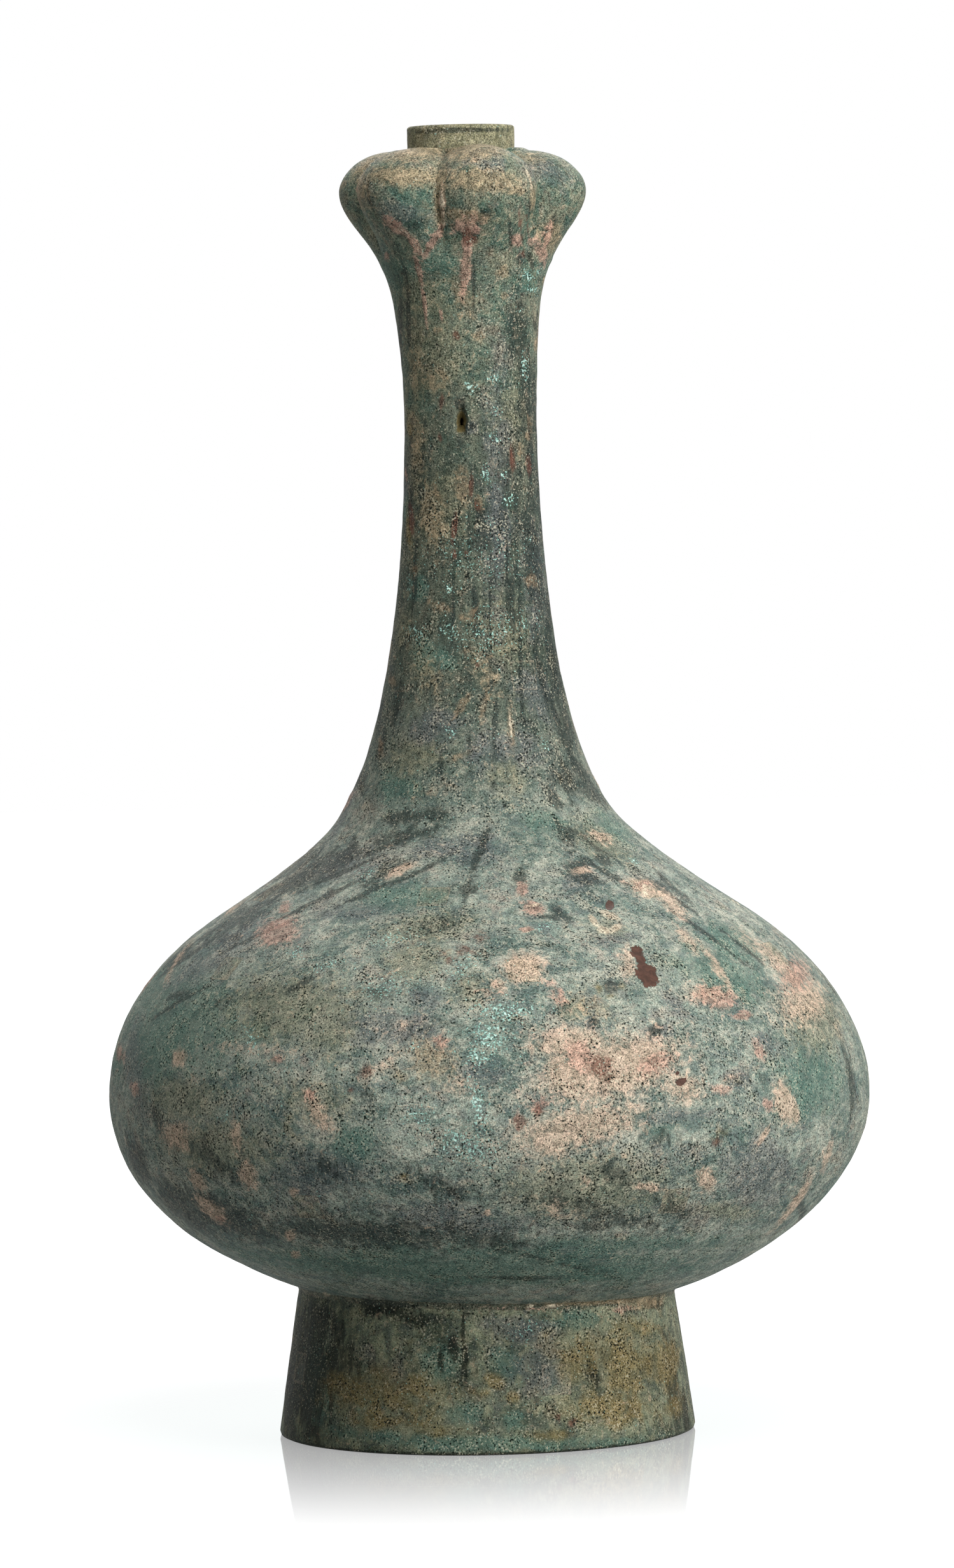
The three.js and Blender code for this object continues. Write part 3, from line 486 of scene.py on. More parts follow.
        (836, 262, 846, 300, 3, 1), (822, 1427, 850, 1424, 2, 1.1), (1047, 1660, 1058, 1645, 2, 1),
        (1098, 1680, 1118, 1700, 2, 1), (800, 1108, 804, 1164, 2.2, 0.9), (596, 268, 600, 300, 3, 0.5),
    ],
}

# Marks for the side the photograph doesn't show, strewn at random between these azimuths: number,
# least and greatest half-length, how much taller than wide they run, lowest and highest level. On the
# foot, and above the level where the vase is slender, they are smaller.
UNSEEN_FROM = 84
UNSEEN_TO = 276
SLENDER_LEVEL = 190
SLENDER_SHARE = 0.5

# What their draws lie between: a mark's strength, its slant and the tilt of its three parts, their
# half-width, how much wider than that they run, and how far they stand beside and above its middle
UNSEEN_STRENGTHS = (0.7, 1.15)
UNSEEN_SLANT = 0.5
UNSEEN_TILT = 0.4
UNSEEN_HALVES = (0.35, 0.8)
UNSEEN_WIDTHS = (0.8, 1.6)
UNSEEN_BESIDE = 0.8
UNSEEN_ABOVE = 0.5
UNSEEN = {
    "teal": (22, 8, 22, 0.7, 4, 355),
    "khaki": (20, 8, 22, 0.8, 4, 350),
    "slate": (22, 5, 16, 0.6, 4, 350),
    "dark": (46, 2, 11, 1.8, 4, 350),
    "umber": (24, 1.5, 6, 1.8, 175, 310),
    "buff": (18, 2, 8, 0.8, 325, 362),
    "tan": (26, 1.5, 9, 0.7, 50, 215),
    "pink": (16, 1.5, 6, 0.8, 50, 355),
    "ochre": (22, 2, 6, 0.8, 3, 38),
    "red": (20, 1, 3, 1.5, 20, 340),
    "bare": (3, 1.2, 2.6, 1.3, 70, 150),
    "malachite": (30, 2, 8, 1.2, 50, 350),
    "pale": (8, 1, 3, 0.3, 60, 160),
}


# Outlines are rows of (radius, height), from the lowest point of an outer face up.


def curve(start, lean, lead, end, end_lean, end_lead):
    """A smooth line between two points, with a lean and a lead at each."""
    start = np.array(start, float)
    end = np.array(end, float)
    out = start + lead * np.array([lean, 1])
    back = end - end_lead * np.array([end_lean, 1])
    t = np.linspace(0, 1, LINE_POINTS)[:, None]
    return (1 - t) ** 3 * start + 3 * (1 - t) ** 2 * t * out + 3 * (1 - t) * t**2 * back + t**3 * end


def arc(radius, height, reach, rise, first, last, count=LINE_POINTS):
    """A part of an ellipse about a point, between two angles."""
    angle = np.radians(np.linspace(first, last, count))
    return np.column_stack([radius + reach * np.cos(angle), height + rise * np.sin(angle)])


def joined(*lines):
    """Lines end to end, without their doubled points."""
    return np.vstack([lines[0], *[line[1:] for line in lines[1:]]])


def evenly(line, step):
    """The same line with its points at equal distances."""
    gone = np.concatenate([[0], np.cumsum(np.hypot(*np.diff(line, axis=0).T))])
    count = max(2, round(gone[-1] / step) + 1)
    place = np.linspace(0, gone[-1], count)
    return np.column_stack([np.interp(place, gone, line[:, 0]), np.interp(place, gone, line[:, 1])])


def inside(line, wall):
    """The line one wall inside a casting's outer face, ending at the same levels."""
    along = np.gradient(line, axis=0)
    along /= np.hypot(*along.T)[:, None]
    inner = line + wall * np.column_stack([-along[:, 1], along[:, 0]])
    for end in (0, -1):
        inner[end] += along[end] * (line[end, 1] - inner[end, 1]) / along[end, 1]
    return inner


def foot_line():
    side = FOOT_RADIUS + (FOOT_TOP_RADIUS - FOOT_RADIUS) * FOOT_EDGE / FOOT_TOP
    edge = arc(side - FOOT_EDGE, FOOT_EDGE, FOOT_EDGE, FOOT_EDGE, -90, 0, EDGE_POINTS)
    return joined(edge, np.array([edge[-1], [FOOT_TOP_RADIUS, FOOT_TOP]]))


def shoulder_line():
    fall = math.sqrt(1 - (SHOULDER_RISE / BELLY_RISE) ** 2)
    lean = -BELLY_RADIUS * SHOULDER_RISE / (BELLY_RISE**2 * fall)
    start = (BELLY_RADIUS * fall, BELLY_WIDEST + SHOULDER_RISE)
    end = (NECK_BASE_RADIUS, NECK_BASE)
    return curve(start, lean, SHOULDER_LEADS[0], end, NECK_BASE_LEAN, SHOULDER_LEADS[1])


def belly_line():
    joint = math.degrees(math.asin((FOOT_TOP - BELLY_WIDEST) / BELLY_DROP))
    shoulder = math.degrees(math.asin(SHOULDER_RISE / BELLY_RISE))
    lower = arc(0, BELLY_WIDEST, BELLY_RADIUS, BELLY_DROP, joint, 0)
    upper = arc(0, BELLY_WIDEST, BELLY_RADIUS, BELLY_RISE, 0, shoulder)
    return joined(lower, upper, shoulder_line())


def neck_line():
    waist = (NECK_WAIST_RADIUS, NECK_WAIST)
    top = (NECK_TOP_RADIUS, NECK_TOP)
    base_lead, waist_lead, top_lead = NECK_LEADS
    lower = curve((NECK_BASE_RADIUS, NECK_BASE), NECK_BASE_LEAN, base_lead, waist, 0, waist_lead)
    return joined(lower, curve(waist, 0, 0, top, NECK_TOP_LEAN, top_lead))


def head_line():
    """The bulb's outline over the middle of a clove, down to the collar's seat."""
    start = (NECK_TOP_RADIUS, NECK_TOP)
    widest = (HEAD_RADIUS, HEAD_WIDEST)
    bulb = curve(start, NECK_TOP_LEAN, HEAD_LEADS[0], widest, 0, HEAD_LEADS[1])
    crown = arc(CLOVE_MIDDLE, HEAD_WIDEST, CLOVE_RADIUS, CROWN_RISE, 0, 90)
    fall = HEAD_WIDEST + CROWN_RISE - HEAD_TOP
    seat = arc(CLOVE_MIDDLE, HEAD_TOP, CLOVE_MIDDLE - COLLAR_LAND, fall, 90, 180, count=12)
    return joined(bulb, crown, seat)


HEAD_SIDE = head_line()[: LINE_POINTS + LINE_POINTS // 2]
VASE_LINE = joined(foot_line()[EDGE_POINTS - 1 :], belly_line(), neck_line(), HEAD_SIDE)


def vase_radius(height):
    return float(np.interp(height, VASE_LINE[:, 1], VASE_LINE[:, 0]))


def linked(name, data):
    thing = bpy.data.objects.new(name, data)
    bpy.context.scene.collection.objects.link(thing)
    return thing


def add_piece(name, corners, faces):
    mesh = bpy.data.meshes.new(name)
    mesh.from_pydata(np.asarray(corners).tolist(), [], faces)
    return linked(name, mesh)


def spun(name, radii, heights):
    """A shell of rings, one row of radii and heights for each, joined last to first. A profile that
    starts and ends on the axis closes there instead."""
    rows, turns = radii.shape
    angle = np.arange(turns) * 2 * math.pi / turns
    corners = np.stack([radii * np.sin(angle), -radii * np.cos(angle), heights], axis=2)
    on_axis = radii[0, 0] == 0
    beside = (np.arange(turns) + 1) % turns
    faces = []
    for row in range(1 if on_axis else 0, rows - 2 if on_axis else rows):
        here = row * turns
        above = (row + 1) % rows * turns
        ring = [here + np.arange(turns), here + beside, above + beside, above + np.arange(turns)]
        faces += np.column_stack(ring).tolist()
    if not on_axis:
        return add_piece(name, corners.reshape(-1, 3), faces)
    low = turns + np.arange(turns)
    high = (rows - 2) * turns + np.arange(turns)
    faces += np.column_stack([np.full(turns, 0), turns + beside, low]).tolist()
    top = np.full(turns, (rows - 1) * turns)
    faces += np.column_stack([high, (rows - 2) * turns + beside, top]).tolist()
    piece = add_piece(name, corners.reshape(-1, 3), faces)
    drop_loose(piece)
    return piece


def drop_loose(piece):
    """Takes away the corners no face uses."""
    mesh = piece.data
    corners, faces = arrays(mesh)
    used, renamed = np.unique(np.concatenate(faces), return_inverse=True)
    ends = np.cumsum([len(face) for face in faces])[:-1]
    mesh.clear_geometry()
    mesh.from_pydata(corners[used].tolist(), [], [face.tolist() for face in np.split(renamed, ends)])


def arrays(mesh):
    corners = np.empty(len(mesh.vertices) * 3)
    mesh.vertices.foreach_get("co", corners)
    return corners.reshape(-1, 3), [np.array(face.vertices) for face in mesh.polygons]


def turned(name, profile, turns):
    radii = np.repeat(profile[:, :1], turns, axis=1)
    heights = np.repeat(profile[:, 1:], turns, axis=1)
    return spun(name, radii, heights)


def foot_ring():
    outer = evenly(foot_line(), step=1.0)
    bore = np.array([[FOOT_TOP_RADIUS - FOOT_WALL, FOOT_TOP], [outer[0, 0] - FOOT_WALL, 0]])
    inner = evenly(bore, step=4)
    return turned("foot_ring_cast", np.vstack([outer, inner]), turns=360)


def belly():
    outer = evenly(belly_line(), step=1.32)
    upper = belly_line()[LINE_POINTS - 1 :]
    hollow = arc(0, BELLY_WIDEST, BELLY_RADIUS - BELLY_WALL, BELLY_DROP - BELLY_WALL, -90, 0)
    hollow[0, 0] = 0
    inner = evenly(joined(hollow, inside(upper, BELLY_WALL)), step=9)
    bore = FOOT_TOP_RADIUS - FOOT_WALL - FIT
    under = -math.degrees(math.acos((bore - RIB_WALL) / BELLY_RADIUS))
    base = evenly(arc(0, BELLY_WIDEST, BELLY_RADIUS, BELLY_DROP, -90, under), step=7)
    base[0, 0] = 0
    level = FOOT_TOP - RIB_DEPTH
    rib = np.array([[bore - RIB_WALL, level], [bore, level], [bore, FOOT_TOP]])
    return turned("belly_cast", np.vstack([base, rib, outer, inner[::-1]]), turns=520)


def neck_tube():
    outer = evenly(neck_line(), step=0.9)
    below = inside(shoulder_line(), BELLY_WALL)[-1, 0] - FIT
    above = inside(head_line(), HEAD_WALL)[0, 0] - FIT
    bore = evenly(inside(neck_line(), NECK_WALL), step=3.5)
    limit = np.where(bore[:, 1] < NECK_WAIST, below - SPIGOT_WALL, above - SPIGOT_WALL)
    bore = bore[bore[:, 0] < limit]
    top = [
        (above, NECK_TOP),
        (above, NECK_TOP + SPIGOT_DEPTH),
        (above - SPIGOT_WALL, NECK_TOP + SPIGOT_DEPTH),
        (above - SPIGOT_WALL, NECK_TOP),
    ]
    bottom = [
        (below - SPIGOT_WALL, NECK_BASE),
        (below - SPIGOT_WALL, NECK_BASE - SPIGOT_DEPTH),
        (below, NECK_BASE - SPIGOT_DEPTH),
        (below, NECK_BASE),
    ]
    return turned("neck_tube_cast", np.vstack([outer, top, bore[::-1], bottom]), turns=240)


def eased(value, low, high):
    share = np.clip((value - low) / (high - low), 0, 1)
    return share * share * (3 - 2 * share)


def off_clove(radius, height, off, wall):
    """Takes a point of the bulb's outline to an angle off the middle of a clove, where the clove is
    narrower and lower."""
    bulge = CLOVE_RADIUS - wall
    half = np.sqrt(bulge**2 - (CLOVE_MIDDLE * np.sin(off)) ** 2)
    middle = CLOVE_MIDDLE * np.cos(off)
    groove = eased(height, GROOVE_START, GROOVE_FULL)
    low_radius = radius - groove * (CLOVE_MIDDLE + bulge - middle - half)
    share = half / bulge
    blend = eased(radius, COLLAR_LAND, CLOVE_MIDDLE)
    high_radius = radius + blend * (middle + (radius - CLOVE_MIDDLE) * share - radius)
    high = height + blend * (HEAD_WIDEST + (height - HEAD_WIDEST) * share - height)
    below = height < HEAD_WIDEST
    return np.where(below, low_radius, high_radius), np.where(below, height, high)


def garlic_head():
    outer = evenly(head_line(), step=0.72)
    opening = COLLAR_RADIUS - 1
    roof = HEAD_TOP - HEAD_WALL
    bulb = evenly(inside(head_line(), HEAD_WALL), step=2.5)
    bulb = bulb[(bulb[:, 0] > COLLAR_LAND) & (bulb[:, 1] < roof)]
    profile = np.vstack([outer, [(opening, HEAD_TOP), (opening, roof)], bulb[::-1]])
    turns = 360
    pitch = 2 * math.pi / CLOVES
    azimuth = np.arange(turns) * 2 * math.pi / turns - math.radians(FIRST_CLOVE)
    off = azimuth - pitch * np.round(azimuth / pitch)
    wall = np.where(np.arange(len(profile)) < len(outer), 0, HEAD_WALL)
    radii, heights = off_clove(profile[:, :1], profile[:, 1:], off[None, :], wall[:, None])
    turn = np.arange(turns) * 360 / turns
    drop = np.interp(turn, CLOVE_AZIMUTHS, CLOVE_DROPS, period=360)
    heights = heights - drop * eased(radii, COLLAR_LAND, CROWN_RADIUS) * eased(heights, *CROWN_RANGE)
    head = spun("garlic_head_cast", radii, heights)
    store(head.data, "face", np.repeat(wall == 0, turns))
    return head


def mouth_collar():
    lip = arc(COLLAR_RADIUS - COLLAR_EDGE, RIM - COLLAR_EDGE, COLLAR_EDGE, COLLAR_EDGE, 0, 90, count=6)
    side = evenly(np.array([[COLLAR_RADIUS, HEAD_TOP], lip[0]]), step=0.6)
    bore = evenly(np.array([[COLLAR_BORE, RIM], [COLLAR_BORE, HEAD_TOP - SPIGOT_DEPTH]]), step=1)
    spigot = [(COLLAR_SPIGOT, HEAD_TOP - SPIGOT_DEPTH), (COLLAR_SPIGOT, HEAD_TOP)]
    return turned("mouth_collar_cast", np.vstack([side, lip[1:], bore, spigot]), turns=200)


def foot_solder():
    """The bead in the corner between foot and belly, hollow-faced as solder sets."""
    level = FOOT_TOP - BEAD_DROP
    reach = FOOT_TOP_RADIUS + BEAD_REACH
    foot = foot_line()
    low = np.array([np.interp(level, foot[:, 1], foot[:, 0]) + BEAD_GAP, level])
    radius = np.linspace(FOOT_TOP_RADIUS + BEAD_GAP, reach, BEAD_ROOF_POINTS)
    roof = BELLY_WIDEST - BELLY_DROP * np.sqrt(1 - (radius / BELLY_RADIUS) ** 2) - BEAD_GAP
    corner = np.array([radius[0], roof[0]])
    far = np.array([reach, roof[-1]])
    t = np.linspace(0, 1, BEAD_FACE_POINTS)[:, None]
    face = (1 - t) * low + t * far
    face += 4 * t * (1 - t) * BEAD_HOLLOW * (corner - (low + far) / 2)
    back = np.column_stack([radius, roof])[::-1]
    return turned("foot_solder_bead", np.vstack([face, back[1:]]), turns=480)


def base_loop():
    """An arch of round bar, its legs stopping under the belly's base."""
    top = BELLY_WIDEST - BELLY_DROP - FIT
    bend = np.radians(np.linspace(180, 360, LOOP_BENDS))
    arch = np.column_stack([LOOP_RADIUS * np.cos(bend), LOOP_RADIUS * np.sin(bend) - LOOP_LEG])
    path = np.vstack([[-LOOP_RADIUS, 0], arch, [LOOP_RADIUS, 0]])
    along = np.gradient(path, axis=0)
    along /= np.hypot(*along.T)[:, None]
    sides = LOOP_SIDES
    angle = np.arange(sides) * 2 * math.pi / sides
    rings = []
    for (x, z), (dx, dz) in zip(path, along):
        out = LOOP_WIRE * np.cos(angle)
        rings.append(np.column_stack([x - out * dz, LOOP_WIRE * np.sin(angle), top + z + out * dx]))
    faces = [list(range(sides)), [(len(path) - 1) * sides + i for i in range(sides)][::-1]]
    for row in range(len(path) - 1):
        for side in range(sides):
            beside = (side + 1) % sides
            here = row * sides
            faces.append([here + side, here + sides + side, here + sides + beside, here + beside])
    return add_piece("base_loop_bar", np.vstack(rings), faces)


# Windows through the walls, and the spacers in them


def bar_basis(azimuth, height):
    """Axes of a bar through the wall there, along the wall's own normal: across, up, outwards."""
    above, below = vase_radius(height + SLOPE_REACH), vase_radius(height - SLOPE_REACH)
    lean = (above - below) / (2 * SLOPE_REACH)
    angle = math.radians(azimuth)
    flat = Vector((math.sin(angle), -math.cos(angle), 0))
    outward = (flat - lean * Vector((0, 0, 1))).normalized()
    across = Vector((0, 0, 1)).cross(outward).normalized()
    basis = Matrix((across, outward.cross(across), outward)).transposed()
    return basis, vase_radius(height) * flat + Vector((0, 0, height))


def along_bar(corners, place):
    """The corners in the axes of the bar at this azimuth and height."""
    basis, middle = bar_basis(*place)
    return (corners - np.array(middle)) @ np.array(basis)


def bars(name, places, outline, reach, taper=0.0):
    """Bars of one outline through the wall at each (azimuth, height), as a single cutter. The taper is
    the share of their size that they lose for each millimetre of depth."""
    corners = []
    faces = []
    count = len(outline)
    for azimuth, height in places:
        basis, middle = bar_basis(azimuth, height)
        start = len(corners)
        for depth in (-reach, reach):
            size = 1 + taper * depth
            corners += [tuple(middle + basis @ Vector((x * size, y * size, depth))) for x, y in outline]
        faces.append([start + i for i in range(count)][::-1])
        faces.append([start + count + i for i in range(count)])
        for i in range(count):
            beside = (i + 1) % count
            faces.append([start + i, start + beside, start + count + beside, start + count + i])
    return add_piece(name, corners, faces)


def carved(piece, cutter, operation):
    """The mesh left when the cutter is taken from a piece, or the piece kept only inside it."""
    change = piece.modifiers.new("carve", "BOOLEAN")
    change.operation = operation
    change.solver = "MANIFOLD"
    change.object = cutter
    held = piece.evaluated_get(bpy.context.evaluated_depsgraph_get())
    mesh = bpy.data.meshes.new_from_object(held)
    piece.modifiers.clear()
    return mesh


def square(side):
    half = side / 2
    return [(-half, -half), (half, -half), (half, half), (-half, half)]


def cut_spacers(casting, node):
    """Cuts this casting's windows and returns the squares of wall that fill them."""
    rows = [row for row in SPACER_ROWS if row[1] == node]
    places = {}
    for name, _, height, first, pitch, count in rows:
        for i in range(count):
            places[f"{name}_{i + 1}"] = (first + pitch * i, height)
    windows = bars("windows", places.values(), square(SPACER_SIDE + SEAM), CUT_REACH)
    squares = bars("squares", places.values(), square(SPACER_SIDE - SEAM), CUT_REACH)
    filled = carved(casting, squares, "INTERSECT")
    opened = carved(casting, windows, "DIFFERENCE")
    casting.data = opened
    for cutter in (windows, squares):
        bpy.data.objects.remove(cutter)
    return [spacer(name, place, filled) for name, place in places.items()]


def spacer(name, place, filled):
    corners, faces = arrays(filled)
    mine = np.abs(along_bar(corners, place)).max(axis=1) < SPACER_SIDE
    piece = add_piece(f"{name}_square", corners, [face.tolist() for face in faces if mine[face].all()])
    drop_loose(piece)
    corners, _ = arrays(piece.data)
    edge = np.abs(along_bar(corners, place)[:, :2]).max(axis=1) / (SPACER_SIDE / 2)
    store(piece.data, "edge", EDGE_TONE * eased(edge, EDGE_START, 1.0))
    return piece


def pierce_neck(neck):
    place = (HOLE_AZIMUTH, HOLE_HEIGHT)
    cutter = bars("hole", [place], HOLE_OUTLINE, HOLE_REACH, HOLE_TAPER)
    neck.data = carved(neck, cutter, "DIFFERENCE")
    bpy.data.objects.remove(cutter)
    corners, _ = arrays(neck.data)
    across, up, depth = along_bar(corners, place).T
    near = np.hypot(across / EARTH_ACROSS, up / EARTH_UP) < 1
    store(neck.data, "earth", near & (depth < -EARTH_LIP))


# Crust and wear, as relief on the outer faces, and as marks for the finishes, some of which are painted
# light and shade


def store(mesh, name, values):
    layer = mesh.attributes.new(name, "FLOAT", "POINT")
    layer.data.foreach_set("value", np.asarray(values, np.float32))


def noise(points, size, seed):
    """Smooth random relief between about -1 and 1 with features of this size."""
    chance = np.random.default_rng(seed)
    order = chance.permutation(256)
    slopes = chance.normal(size=(256, 3))
    slopes /= np.linalg.norm(slopes, axis=1)[:, None]
    place = points / size
    cell = np.floor(place).astype(int)
    part = place - cell
    ease = part**3 * (part * (part * 6 - 15) + 10)
    total = np.zeros(len(points))
    for corner in np.ndindex(2, 2, 2):
        x, y, z = (cell + corner).T & 255
        slope = slopes[order[(order[(order[x] + y) & 255] + z) & 255]]
        fall = np.where(corner, ease, 1 - ease).prod(axis=1)
        total += fall * (slope * (part - corner)).sum(axis=1)
    return total * NOISE_GAIN


def camera_axes():
    forward = CAMERA_AIM - CAMERA_PLACE
    forward /= np.linalg.norm(forward)
    level = np.cross(forward, [0, 0, 1])
    level /= np.linalg.norm(level)
    upright = np.cross(level, forward)
    roll = math.radians(CAMERA_ROLL)
    right = level * math.cos(roll) - upright * math.sin(roll)
    up = upright * math.cos(roll) + level * math.sin(roll)
    return forward, right, up


def seen_at(x, y):
    """Azimuth and height of the vase's outer face at a pixel of the photograph."""
    forward, right, up = camera_axes()
    focus = CAMERA_LENS / CAMERA_SENSOR * PHOTO_HEIGHT
    ray = forward + right * (x - PHOTO_WIDTH / 2) / focus - up * (y - PHOTO_HEIGHT / 2) / focus
    ray /= np.linalg.norm(ray)
    path = CAMERA_PLACE + np.linspace(SIGHT_NEAR, SIGHT_FAR, SIGHT_STEPS)[:, None] * ray
    path[:, 0] -= np.interp(path[:, 2], OFF_HEIGHTS, OFF_AXIS)
    depth = np.hypot(path[:, 0], path[:, 1]) - np.interp(path[:, 2], VASE_LINE[:, 1], VASE_LINE[:, 0])
    met = path[np.argmax(depth < 0) if (depth < 0).any() else np.argmin(depth)]
    return math.degrees(math.atan2(met[0], -met[1])), met[2]


def seen_mark(x0, y0, x1, y1, half, strength):
    """A mark of the photograph as azimuth, height, strength and the matrix that takes a place beside
    its middle, in millimetres across and up, to shares of its half-length and half-width."""
    x, y = (x0 + x1) / 2, (y0 + y1) / 2
    middle = seen_at(x, y)
    radius = vase_radius(middle[1])
    length = math.hypot(x1 - x0, y1 - y0)
    ahead = np.array([x1 - x0, y1 - y0]) / length
    inwards = 1 if x < PHOTO_MIDDLE else -1
    sides = []
    for step in (1, 0), (0, 1):
        end = seen_at(x + inwards * SLOPE_PIXELS * step[0], y + SLOPE_PIXELS * step[1])
        across = math.radians(end[0] - middle[0]) * radius * inwards / SLOPE_PIXELS
        sides.append((across, (end[1] - middle[1]) / SLOPE_PIXELS))
    to_face = np.array([(sides[0][0], inwards * sides[1][0]), (inwards * sides[0][1], sides[1][1])])
    to_face[0, 0] = min(to_face[0, 0], WIDEST_PIXEL)
    shape = to_face @ np.array([ahead * length / 2, np.array([-ahead[1], ahead[0]]) * half]).T
    return (*middle, strength, np.linalg.inv(shape))


def unseen_marks(kind):
    """Marks for the back. Each is three overlapping ones, so that its outline is uneven."""
    number, least, most, tallness, lowest, highest = UNSEEN[kind]
    chance = np.random.default_rng(sum(map(ord, kind)))
    marks = []
    for _ in range(number):
        azimuth = chance.uniform(UNSEEN_FROM, UNSEEN_TO)
        height = chance.uniform(lowest, highest)
        slender = height > SLENDER_LEVEL or height < FOOT_TOP
        size = chance.uniform(least, most) * (SLENDER_SHARE if slender else 1)
        strength = chance.uniform(*UNSEEN_STRENGTHS)
        slant = chance.normal(0, UNSEEN_SLANT)
        for _ in range(3):
            tilt = slant + chance.normal(0, UNSEEN_TILT)
            turn = np.array([[math.cos(tilt), math.sin(tilt)], [-math.sin(tilt), math.cos(tilt)]])
            half = size * chance.uniform(*UNSEEN_HALVES)
            widths = np.array([[half * chance.uniform(*UNSEEN_WIDTHS)], [half * tallness]])
            beside = math.degrees(chance.normal(0, UNSEEN_BESIDE) * size / vase_radius(height))
            above = chance.normal(0, UNSEEN_ABOVE) * size * tallness
            marks.append((azimuth + beside, height + above, strength, turn / widths))
    return marks


def mark_fields(azimuth, height, radius):
    """How strongly each kind of mark shows at each point: 1 in its middle and 0.5 at its outline."""
    fields = {}
    for kind, marks in PLACED.items():
        field = np.zeros(len(azimuth))
        for middle, level, strength, to_shares in marks:
            across = np.radians((azimuth - middle + 180) % 360 - 180) * radius
            shares = to_shares @ np.stack([across, height - level])
            np.maximum(field, strength * np.exp2(-(shares**2).sum(axis=0)), out=field)
        fields[kind] = field
    return fields


PLACED = {kind: [seen_mark(*mark) for mark in marks] + unseen_marks(kind) for kind, marks in MARKS.items()}


def relief(points, fields):
    """Height of the crust over the cast face."""
    lumps = noise(points, LUMP_SIZE, seed=11)
    fine = noise(points, FINE_SIZE, seed=12)
    swell = noise(points, SWELL_SIZE, seed=13)
    crust = eased(np.maximum(fields["tan"], fields["pink"]), *RISE_RANGE)
    rise = SWELL_HEIGHT * swell + LUMP_HEIGHT * lumps + FINE_HEIGHT * fine
    rise += CRUST_HEIGHT * crust * (CRUST_LEAST + CRUST_BREAK * fine)
    rise -= WEAR_DEPTH * eased(fields["bare"], *WEAR_RANGE)
    rise += PALE_HEIGHT * eased(fields["pale"], *RISE_RANGE)
    return rise


def radius_of(points):
    return np.maximum(np.hypot(points[:, 0], points[:, 1]), LEAST)


def outward_of(points):
    """The vase's outward direction at the level of each point."""
    radius = radius_of(points)
    above = np.interp(points[:, 2] + SLOPE_REACH, VASE_LINE[:, 1], VASE_LINE[:, 0])
    below = np.interp(points[:, 2] - SLOPE_REACH, VASE_LINE[:, 1], VASE_LINE[:, 0])
    lean = (above - below) / (2 * SLOPE_REACH)
    out = np.column_stack([points[:, 0] / radius, points[:, 1] / radius, -lean])
    return out / np.linalg.norm(out, axis=1)[:, None]


def outer_share(mesh, points, line, wall):
    """1 on a piece's outer face and 0 elsewhere. Without a line, the whole piece counts as outer, unless
    it carries a face attribute of its own."""
    outer = np.ones(len(points))
    if line is not None:
        face = np.interp(points[:, 2], line[:, 1], line[:, 0])
        outer = (radius_of(points) > face - wall / 2) & (points[:, 2] > line[0, 1] - LEAST)
    if "face" in mesh.attributes:
        mesh.attributes["face"].data.foreach_get("value", outer)
    return outer


def moved_by(points, rise):
    """The points raised by the relief and moved as the vase leans and as its foot's joint tilts."""
    fade = eased(points[:, 2], 0, FOOT_FADE) * (1 - eased(points[:, 2], RIM - RIM_FADE, RIM))
    moved = points + outward_of(points) * (rise * fade)[:, None]
    moved[:, 0] += np.interp(points[:, 2], OFF_HEIGHTS, OFF_AXIS)
    tilt = np.clip(LIFT_MIDDLE - LIFT_TILT * points[:, 0], *LIFT_RANGE)
    moved[:, 2] += tilt * np.interp(points[:, 2], LIFT_HEIGHTS, LIFT)
    return moved


def store_zones(mesh, height):
    """Stores how far each point belongs to the neck and to the head, and how rough it is."""
    neck = eased(height, *NECK_RANGE)
    head = eased(height, *HEAD_RANGE)
    under = eased(height, *UNDER_START) * (1 - eased(height, *UNDER_END))
    store(mesh, "neck", neck)
    store(mesh, "head", head)
    store(mesh, "rough", NECK_ROUGH * neck + HEAD_ROUGH * head + UNDER_ROUGH * under)


def weather(piece, line=None, wall=0.0):
    """Puts the relief on a piece's outer face, stores the marks, leans the piece with the vase and
    turns it into metres."""
    mesh = piece.data
    points, _ = arrays(mesh)
    azimuth = np.degrees(np.arctan2(points[:, 0], -points[:, 1]))
    fields = mark_fields(azimuth, points[:, 2], radius_of(points))
    # A painted contact shadow: the foot's lowest edge is darkened through the dark marks.
    contact_shade = CONTACT_SHADE_TONE * (1 - eased(points[:, 2], *CONTACT_SHADE_RANGE))
    fields["dark"] = np.maximum(fields["dark"], contact_shade)
    outer = outer_share(mesh, points, line, wall)
    moved = moved_by(points, relief(points, fields) * outer)
    for kind, field in fields.items():
        store(mesh, kind, field * outer)
    store(mesh, "inside", 1.0 - outer)
    store_zones(mesh, points[:, 2])
    mesh.vertices.foreach_set("co", (moved * MILLIMETRE).ravel())
    mesh.shade_smooth()
    mesh.set_sharp_from_angle(angle=math.radians(SHARP_ANGLE))
    mesh.update()


# Finishes. Colours are written as they look on a screen.


def colour(red, green, blue):
    parts = [value / 255 for value in (red, green, blue)]
    linear = [((part + 0.055) / 1.055) ** 2.4 if part > 0.04 else part / 12.92 for part in parts]
    return (*linear, 1.0)


